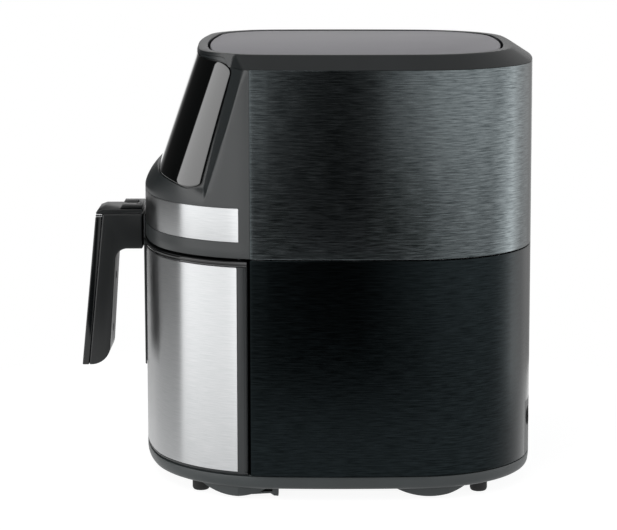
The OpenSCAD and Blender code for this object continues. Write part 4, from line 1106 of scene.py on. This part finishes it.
def drawer_lip():
    """The glossy double ridge on top of the drawer front, parted where the handle's plate rises."""
    base, ridge_r, inward = LIP_Z, 1.45, 9
    loop = [(inward, base), (0.4, base), (0.1, base + 0.1), (-0.5, base + 0.35), (-0.95, base + 0.8),
            (-0.9, base + 1.2), (-0.45, base + 1.45), (-0.45, base + 1.6), (-1.1, base + 1.85)]
    loop += arc((ridge_r - LIP_OUT, base + 3.05), ridge_r, 230, 90, 10)
    loop += [(2.0, LIP_TOP), (inward, LIP_TOP)]
    obj = swept("lip_drawer", loop, front_path(DRAWER_SEAM_Y), 40)
    return pocket(obj, PLATE_W / 2 + 0.8, (-170, -100), (LIP_Z - 2, LIP_TOP + 2), shade=40)


# --- Handle ---

def front_line(z, depth):
    """Where the grip's leaning front lies at height z, moved back by depth."""
    return TIP_Y + (HEAD_Y - TIP_Y) * (z - HANDLE_FOOT_Z) / (CAP_Z - HANDLE_FOOT_Z) + depth


def handle_grip():
    """The grip and its arm, hollow under the cap, with bores for the strip's screws."""
    front, foot = STRIP_T + 0.15, HANDLE_FOOT_Z
    drawing = [(ARM_Y, ARM_Z), (ARM_Y, CAP_Z), (front_line(CAP_Z, front), CAP_Z),
               (front_line(foot, front), foot)]
    drawing += arc((INNER_FOOT_Y - FOOT_R, foot + FOOT_R), FOOT_R, 270, 360, 12)
    drawing += arc((INNER_TOP_Y + FILLET_R, ARM_Z - FILLET_R), FILLET_R, 180, 90, 14)
    obj = bevelled(across("grip_handle", drawing, HANDLE_W / 2), 1.2, 4, 50)
    pocket(obj, 12, POCKET_Y, (LIP_Z - 4.9, 181.9))
    pocket(obj, 12, POCKET_Y, (183.9, CAP_Z + 3))
    pocket(obj, 4.5, (POCKET_Y[1] - 10.3, POCKET_Y[1] - 4.3), (180, 185))
    pocket(obj, 6.3, (POCKET_Y[0], ARM_Y + 3), (LIP_Z - 4.9, LIP_Z - 2.1))
    for z in GRIP_SCREW_Z:
        drill(obj, (0, INNER_FOOT_Y - 7, z), (0, INNER_FOOT_Y + 14, z), 3.4)
        drill(obj, (0, front_line(z, 0), z), (0, INNER_FOOT_Y, z), 1.7)
    return obj


def handle_screws():
    """Two screws that hold the handle's front strip, each as long as the grip is thick there."""
    screws = []
    for z in GRIP_SCREW_Z:
        reach = SCREW_SEAT_Y - front_line(z, 1.4)
        profile = [(2.6, 0), (3, 0.4), (3, 2), (1.5, 2), (1.5, reach - 0.7), (0.9, reach)]
        obj = laid(turned("screw", profile, sides=32), (0, SCREW_SEAT_Y, z), -1)
        screws.append(drill(obj, (0, SCREW_SEAT_Y + 5, z), (0, SCREW_SEAT_Y - 1, z), 1.3, 6))
    return joined("screws_handle", screws)


def leaning_slab(name, low, high, edge, steps):
    """A slab as thick as the front strip that follows the grip's front, with rounded edges."""
    drawing = [(front_line(high, STRIP_T), high), (front_line(high, 0), high),
               (front_line(low, 0), low), (front_line(low, STRIP_T), low)]
    return bevelled(across(name, drawing, HANDLE_W / 2), edge, steps, 50)


def handle_strip():
    """The glossy strip on the grip's front."""
    obj = leaning_slab("strip_handle", HANDLE_FOOT_Z, CAP_Z - ACCENT_H, 0.9, 4)
    for z in GRIP_SCREW_Z:
        drill(obj, (0, front_line(z, 1.2), z), (0, INNER_FOOT_Y, z), 1.6)
    return obj


def handle_accent():
    """The bright line between the strip and the cap."""
    return leaning_slab("accent_handle", CAP_Z - ACCENT_H + 0.2, CAP_Z - 0.1, 0.3, 2)


def handle_cap():
    """The arm's cap with the button's well."""
    foot = CAP_Z + 0.25
    drawing = [(ARM_Y, foot), (ARM_Y, ARM_TOP), (HEAD_Y + 5.6, ARM_TOP), (HEAD_Y + 0.6, ARM_TOP - 1.8),
               (HEAD_Y + 0.1, foot)]
    obj = bevelled(across("cap_handle", drawing, HANDLE_W / 2), 0.5, 3, 25)
    return pocket(obj, 8.2, (POCKET_Y[1] - 10.5, POCKET_Y[1] - 2.1), (CAP_Z - 1, ARM_TOP + 1))


def button_cover():
    """The sliding cover over the release button: a thumb dish and a grip slot."""
    low, high = ARM_TOP + 0.3, ARM_TOP + 2.9
    y0, y1 = ARM_Y - 17.5, ARM_Y - 0.2
    drawing = [(y0, low), (y0 + 1.6, high), (y1 - 0.6, high), (y1, high - 0.6), (y1, low)]
    obj = bevelled(across("cover_button", drawing, HANDLE_W / 2 - 3), 0.4, 3, 25)
    dish_r, dish_up = 18.6, 17.4
    bowl = [(dish_r * math.sin(math.radians(a)), high + dish_up - dish_r * math.cos(math.radians(a)))
            for a in range(2, 60, 3)]
    cut(obj, turned("dish", bowl, (0, ARM_Y - 10), 72))
    return pocket(obj, 9, (ARM_Y - 5.6, ARM_Y - 4.6), (low + 0.9, high + 1))


def button_spring():
    """The release button's return spring: the CAD coil, with its doubled points merged."""
    obj = bpy.data.objects.new("spring_button", NODES["button_spring"].data.copy())
    bpy.context.scene.collection.objects.link(obj)
    bm = bmesh.new()
    bm.from_mesh(obj.data)
    bmesh.ops.remove_doubles(bm, verts=bm.verts, dist=1e-6)
    bm.to_mesh(obj.data)
    bm.free()
    smooth(obj, 40)
    return obj


def cord_inlet():
    """The bush for the supply lead, with its mouth nearly level with the back."""
    (x, z), y = INLET_AT, INLET_Y
    obj = laid(turned("inlet_cord", [(9, 0), (9, 4.2), (7, 4.4), (7, 9.2), (6.4, 9.8)]), (x, y, z), 1)
    return drill(obj, (x, y - 6, z), (x, y + 14, z), INLET_BORE_R)


def handle_plate():
    """Dark plate between the drawer front and the handle."""
    def path(inset):
        line = half_turn(front_arcs(inset), 100.0, -1)
        xs = np.linspace(PLATE_W / 2, -PLATE_W / 2, 25)
        order = np.argsort(line[:, 0])
        return np.column_stack([xs, np.interp(xs, line[order, 0], line[order, 1])])

    loop = rounded_profile([(-0.25, HANDLE_FOOT_Z + 1, 0.3), (-1.4, HANDLE_FOOT_Z + 1, 0.6),
                            (-1.65, CAP_Z - 1, 0.4), (-0.5, CAP_Z - 1, 0.2), (-0.5, LIP_TOP, 0)])
    return toe_slot(swept("plate_handle", loop, path))


# --- Repeats by Geometry Nodes ---

def scatter_tree(name):
    """Copies of one object on every point, made real and given its finish."""
    tree = bpy.data.node_groups.new(name, "GeometryNodeTree")
    for socket, kind in (("Geometry", "Geometry"), ("Copy", "Object"), ("Turn", "Float"),
                         ("Finish", "Material")):
        tree.interface.new_socket(socket, in_out="INPUT", socket_type="NodeSocket" + kind)
    tree.interface.new_socket("Geometry", in_out="OUTPUT", socket_type="NodeSocketGeometry")
    enter, leave = tree.nodes.new("NodeGroupInput"), tree.nodes.new("NodeGroupOutput")
    copy = add(tree, "GeometryNodeObjectInfo", Object=enter.outputs["Copy"])
    index = add(tree, "GeometryNodeInputIndex")
    angle = maths(tree, "MULTIPLY", index.outputs[0], enter.outputs["Turn"])
    spin = add(tree, "ShaderNodeCombineXYZ", Z=angle)
    put = add(tree, "GeometryNodeInstanceOnPoints", Points=enter.outputs["Geometry"],
              Instance=copy.outputs["Geometry"], Rotation=spin.outputs[0])
    real = add(tree, "GeometryNodeRealizeInstances", Geometry=put.outputs[0])
    finish = add(tree, "GeometryNodeSetMaterial", Geometry=real.outputs[0],
                 Material=enter.outputs["Finish"])
    tree.links.new(finish.outputs[0], leave.inputs[0])
    return tree


def set_inputs(modifier, **values):
    """Sets a Geometry Nodes modifier's named inputs by their sockets' identifiers."""
    for item in modifier.node_group.interface.items_tree:
        if item.item_type == "SOCKET" and item.in_out == "INPUT" and item.name in values:
            modifier[item.identifier] = values[item.name]


SCATTER = scatter_tree("copies_on_points")


def scattered(name, master, places, finish, turn=0.0):
    """One piece made of copies of master at (x, y, z) places in millimetres, each turned by a
    further turn (in radians) about the upright."""
    mesh = bpy.data.meshes.new(name)
    mesh.from_pydata([(x * MM, (y + BODY_SHIFT) * MM, z * MM) for x, y, z in places], [], [])
    obj = bpy.data.objects.new(name, mesh)
    bpy.context.scene.collection.objects.link(obj)
    master.data.transform(Matrix.Translation((0, -BODY_SHIFT * MM, 0)))
    mod = obj.modifiers.new("copies", "NODES")
    mod.node_group = SCATTER
    set_inputs(mod, Copy=master, Turn=turn, Finish=finish)
    settle(obj)
    bpy.data.objects.remove(master)
    smooth(obj, 35)
    return obj


def rubber_feet():
    """Round feet with a rolled sole."""
    profile = [(5.0, 0), (5.6, 0.25), (6.1, 0.9), (6.5, 2.2), (6.5, FOOT_H)]
    return scattered("feet_rubber", turned("foot", profile), [(x, y, 0) for x, y in FOOT_PLACES],
                     FOOT_RUBBER)


def base_screws():
    """Pan-head screws with a cross recess, heads down in the base's wells."""
    head_r, head_h, shank_r, length = 3.4, 2.2, 1.8, 9.4
    profile = [(head_r - 0.9, 0), (head_r - 0.3, 0.25), (head_r, 0.8), (head_r, head_h),
               (shank_r, head_h), (shank_r, length - 1), (shank_r - 0.7, length)]
    master = turned("screw", profile, sides=40)
    for wide, deep in ((0.35, 1.7), (1.7, 0.35)):
        pocket(master, wide, (-deep, deep), (-1, 1.0))
    return scattered("screws_base", master, [(x, y, FOOT_H + 0.4) for x, y in SCREW_PLACES],
                     SCREW_STEEL, turn=0.7)


def finished(obj, finish, *nodes):
    """Gives a piece its finish and lets it stand for its CAD nodes."""
    obj.data.materials.clear()
    obj.data.materials.append(finish)
    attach(obj, BODY_OF[nodes[0]])
    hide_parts(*nodes)
    return obj


def joined(name, parts):
    """One piece from several closed ones."""
    bm = bmesh.new()
    for part in parts:
        bm.from_mesh(part.data)
    for part in parts[1:]:
        bpy.data.objects.remove(part)
    bm.to_mesh(parts[0].data)
    bm.free()
    parts[0].name = parts[0].data.name = name
    smooth(parts[0], 32)
    return parts[0]


def control_glass():
    """The glossy control panel in its window."""
    return window_block("glass_control", 0.0, 0.0, PANEL_T, 0.5)


MODELLED = [
    (base_moulding, BASE_ABS, "base_tray"),
    (rubber_feet, FOOT_RUBBER, "rubber_feet"),
    (base_screws, SCREW_STEEL, "base_screws"),
    (lower_wrap, BRUSHED_BLACK, "lower_wrap"),
    (upper_wrap, BRUSHED_DARK, "upper_wrap"),
    (front_fascia, SLATE_ABS, "front_fascia"),
    (control_glass, GLOSS_BLACK, "control_panel"),
    (trim_band, BRUSHED_STEEL, "trim_band"),
    (top_cover, COVER_ABS, "top_cover"),
    (top_panel, TOP_ABS, "top_panel"),
    (drawer_skin, BRUSHED_STEEL, "drawer_skin"),
    (drawer_front, BLACK_ABS, "drawer_front"),
    (drawer_lip, LIP_BLACK, "drawer_lip"),
    (handle_grip, GRIP_ABS, "handle_grip"),
    (handle_strip, STRIP_BLACK, "handle_strip"),
    (handle_accent, CHROME, "handle_accent"),
    (handle_cap, GRIP_ABS, "handle_cap"),
    (button_cover, GRIP_ABS, "button_cover"),
    (handle_plate, BLACK_ABS, "handle_plate"),
    (cord_inlet, FOOT_RUBBER, "cord_inlet"),
    (handle_screws, SCREW_STEEL, "handle_screws"),
]
for make, finish, node in MODELLED:
    finished(make(), finish, node)
spring = finished(button_spring(), SPRING_STEEL, "button_spring")
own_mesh(spring)

# --- Finishes of the pieces that keep their CAD shape ---

KEPT = {
    PAINTED_DECK: ["base_deck"],
    BLACK_ABS: ["rear_vent", "inlet_plate", "drawer_back"],
    FRAME_NYLON: ["mid_frame", "drawer_rails"],
    FAN_NYLON: ["cooling_fan", "reed_switch"],
    PHENOLIC: ["thermal_cutout"],
    CIRCUIT_BOARD: ["control_board", "power_board"],
    FERRITE: ["drawer_magnet"],
    ALUMINISED: ["chamber_liner", "heat_shroud", "element_clips", "motor_bracket", "basket_bracket"],
    SPRING_STEEL: ["latch_bolt", "motor_shaft", "temperature_probe"],
    SCREW_STEEL: ["motor_screws"],
    FAN_ALUMINIUM: ["hot_fan"],
    CORE_IRON: ["motor_stator"],
    BEARING_BRONZE: ["motor_bearings"],
    HEATER_SHEATH: ["heating_element"],
    BRIGHT_WIRE: ["element_guard"],
    NON_STICK: ["drawer_pan", "basket", "basket_mesh"],
    BUTTON_ABS: ["release_button"],
}
for finish, names in KEPT.items():
    for node in names:
        NODES[node].data.materials.clear()
        NODES[node].data.materials.append(finish)

# --- Floor, lamps and camera ---

FLOOR_PALE = "d8d9da"
FLOOR_R = 0.42          # metres
# How bright the studio's walls are near the floor and above it, as stops of (bearing in degrees
# from +X towards +Y, brightness): a long softbox stands from -94.4 to -27, a strip light near 112,
# and the side that the lens looks from is dark.
LOW_WALL = [(-180, 0.9), (-150, 0.9), (-95.3, 0.9), (-94.4, 1.4), (-45, 1.4), (-36, 2.4), (-27, 2.6),
            (-24.5, 0.12), (-10, 0.06), (-5, 0.03), (0, 0.01), (4, 0.01), (7.2, 0.06), (10, 0.15),
            (23, 0.4), (61, 0.75), (84, 0.8), (100, 1.8), (112, 2.8), (120, 1.8), (130, 0.9),
            (155, 0.35), (180, 0.3)]
HIGH_WALL = [(-180, 0.35), (-172, 0.25), (-165, 0.08), (-150, 0.02), (-95.3, 0.02), (-94.4, 2.8),
             (-34, 2.5), (-29, 3.2), (-27, 3.2), (-24.5, 0.55), (-10, 0.4), (-5, 0.1), (0, 0.04),
             (4, 0.1), (7.2, 0.6), (10, 1.0), (23, 1.3), (61, 1.6), (88, 1.5), (112, 2.1), (120, 1.6),
             (130, 1.1), (155, 0.4), (180, 0.3)]
CEILING = 0.35
WALL_MOST = 5.0             # the brightness that stands for 1 in the wall's colour ramps
HIGH_FROM = (-0.16, -0.11)  # rise over which the high wall takes over, and then the ceiling
CEILING_FROM = (0.40, 0.60)
BACKDROP = (0.975, 0.985)   # the white backdrop fills the view's own directions, round -X


def mirror_rays(tree, path):
    """1 for rays that have met a mirror or glass, so that these show what the camera sees."""
    return maths(tree, "MAXIMUM", path.outputs["Is Glossy Ray"], path.outputs["Is Transmission Ray"])


def studio_floor():
    """A round pale floor. The lens sees it nearly white, with a faint shadow under the feet."""
    bm = bmesh.new()
    bmesh.ops.create_circle(bm, cap_ends=True, segments=96, radius=FLOOR_R)
    mesh = bpy.data.meshes.new("studio_floor")
    bm.to_mesh(mesh)
    bm.free()
    obj = bpy.data.objects.new("studio_floor", mesh)
    bpy.context.scene.collection.objects.link(obj)
    it = Surface("painted_floor", Roughness=0.9, Base_Color=colour(FLOOR_PALE))
    tree, paint = it.tree, it.shader.outputs[0]
    path = add(tree, "ShaderNodeLightPath")
    white = add(tree, "ShaderNodeEmission", {"Strength": 0.9}).outputs[0]
    lift = add(tree, "ShaderNodeEmission", {"Strength": 0.29}).outputs[0]
    faint = add(tree, "ShaderNodeMixShader", {0: 0.3}, i1=white, i2=paint).outputs[0]
    lit = add(tree, "ShaderNodeAddShader", i0=faint, i1=lift).outputs[0]
    shown = maths(tree, "MAXIMUM", path.outputs["Is Camera Ray"], mirror_rays(tree, path))
    seen = add(tree, "ShaderNodeMixShader", i0=shown, i1=paint, i2=lit).outputs[0]
    tree.links.new(seen, it.out.inputs[0])
    mesh.materials.append(it.material)


def world():
    """The studio's walls and ceiling as a soft surround, with white seen straight behind the object."""
    surround = bpy.data.worlds.new("studio")
    bpy.context.scene.world = surround
    surround.use_nodes = True
    tree = surround.node_tree
    tree.nodes.clear()
    way = add(tree, "ShaderNodeSeparateXYZ", Vector=add(tree, "ShaderNodeTexCoord").outputs["Generated"])
    ahead, aside, up = way.outputs
    share = mapped(tree, maths(tree, "ARCTAN2", aside, ahead), -math.pi, math.pi)

    def wall(stops):
        return ramp(tree, share, [((a + 180) / 360, grey(v / WALL_MOST)) for a, v in stops])

    walls = add(tree, "ShaderNodeMix", {"data_type": "RGBA"}, i6=wall(LOW_WALL), i7=wall(HIGH_WALL),
                i0=mapped(tree, up, *HIGH_FROM, kind="SMOOTHSTEP"))
    room = add(tree, "ShaderNodeMix", {"data_type": "RGBA", 7: grey(CEILING / WALL_MOST)},
               i6=walls.outputs[2], i0=mapped(tree, up, *CEILING_FROM, kind="SMOOTHSTEP"))
    backdrop = mapped(tree, ahead, -BACKDROP[0], -BACKDROP[1], kind="SMOOTHSTEP")
    path = add(tree, "ShaderNodeLightPath")
    reflected = maths(tree, "MULTIPLY", mirror_rays(tree, path), backdrop)
    shown = maths(tree, "MAXIMUM", path.outputs["Is Camera Ray"], reflected)
    seen = add(tree, "ShaderNodeBackground", {"Color": grey(1.0), "Strength": 1.0})
    lit = add(tree, "ShaderNodeBackground", {"Strength": WALL_MOST}, Color=room.outputs[2])
    mix = add(tree, "ShaderNodeMixShader", i0=shown, i1=lit.outputs[0], i2=seen.outputs[0])
    add(tree, "ShaderNodeOutputWorld", Surface=mix.outputs[0])


def softbox(name, place, aim, side, power):
    """A square soft lamp, its place, aim and side in metres."""
    lamp = bpy.data.lights.new(name, "AREA")
    lamp.shape, lamp.size, lamp.energy = "SQUARE", side, power
    obj = bpy.data.objects.new(name, lamp)
    obj.location = place
    obj.rotation_euler = (Vector(aim) - Vector(place)).to_track_quat("-Z", "Y").to_euler()
    bpy.context.scene.collection.objects.link(obj)


def camera():
    """Looks along -X from the object's side, a little above it. The view's middle is shifted, so
    that the target falls on its own place in the image."""
    target = Vector((0, BODY_SHIFT * MM, BODY_H / 2 * MM))
    elevation, distance, pitch = math.radians(9.677), 1.8512, math.radians(8.185)
    focal_px, target_px, image = 2351.0, (337.7, 250.65), (617, 530)
    data = bpy.data.cameras.new("camera")
    data.sensor_width = 36
    data.lens = 36 * focal_px / image[0]
    axis_v = target_px[1] - focal_px * math.tan(elevation - pitch)
    data.shift_x = -(target_px[0] - image[0] / 2) / image[0]
    data.shift_y = (axis_v - image[1] / 2) / image[0]
    obj = bpy.data.objects.new("camera", data)
    obj.location = target + distance * Vector((math.cos(elevation), 0, math.sin(elevation)))
    obj.rotation_euler = (math.pi / 2 - pitch, 0, math.pi / 2)
    bpy.context.scene.collection.objects.link(obj)
    bpy.context.scene.camera = obj


studio_floor()
world()
softbox("overhead", (0.9, -0.5, 1.5), (0, 0, 0.2), 0.9, 6)
camera()
bpy.context.scene.view_settings.view_transform = "Standard"
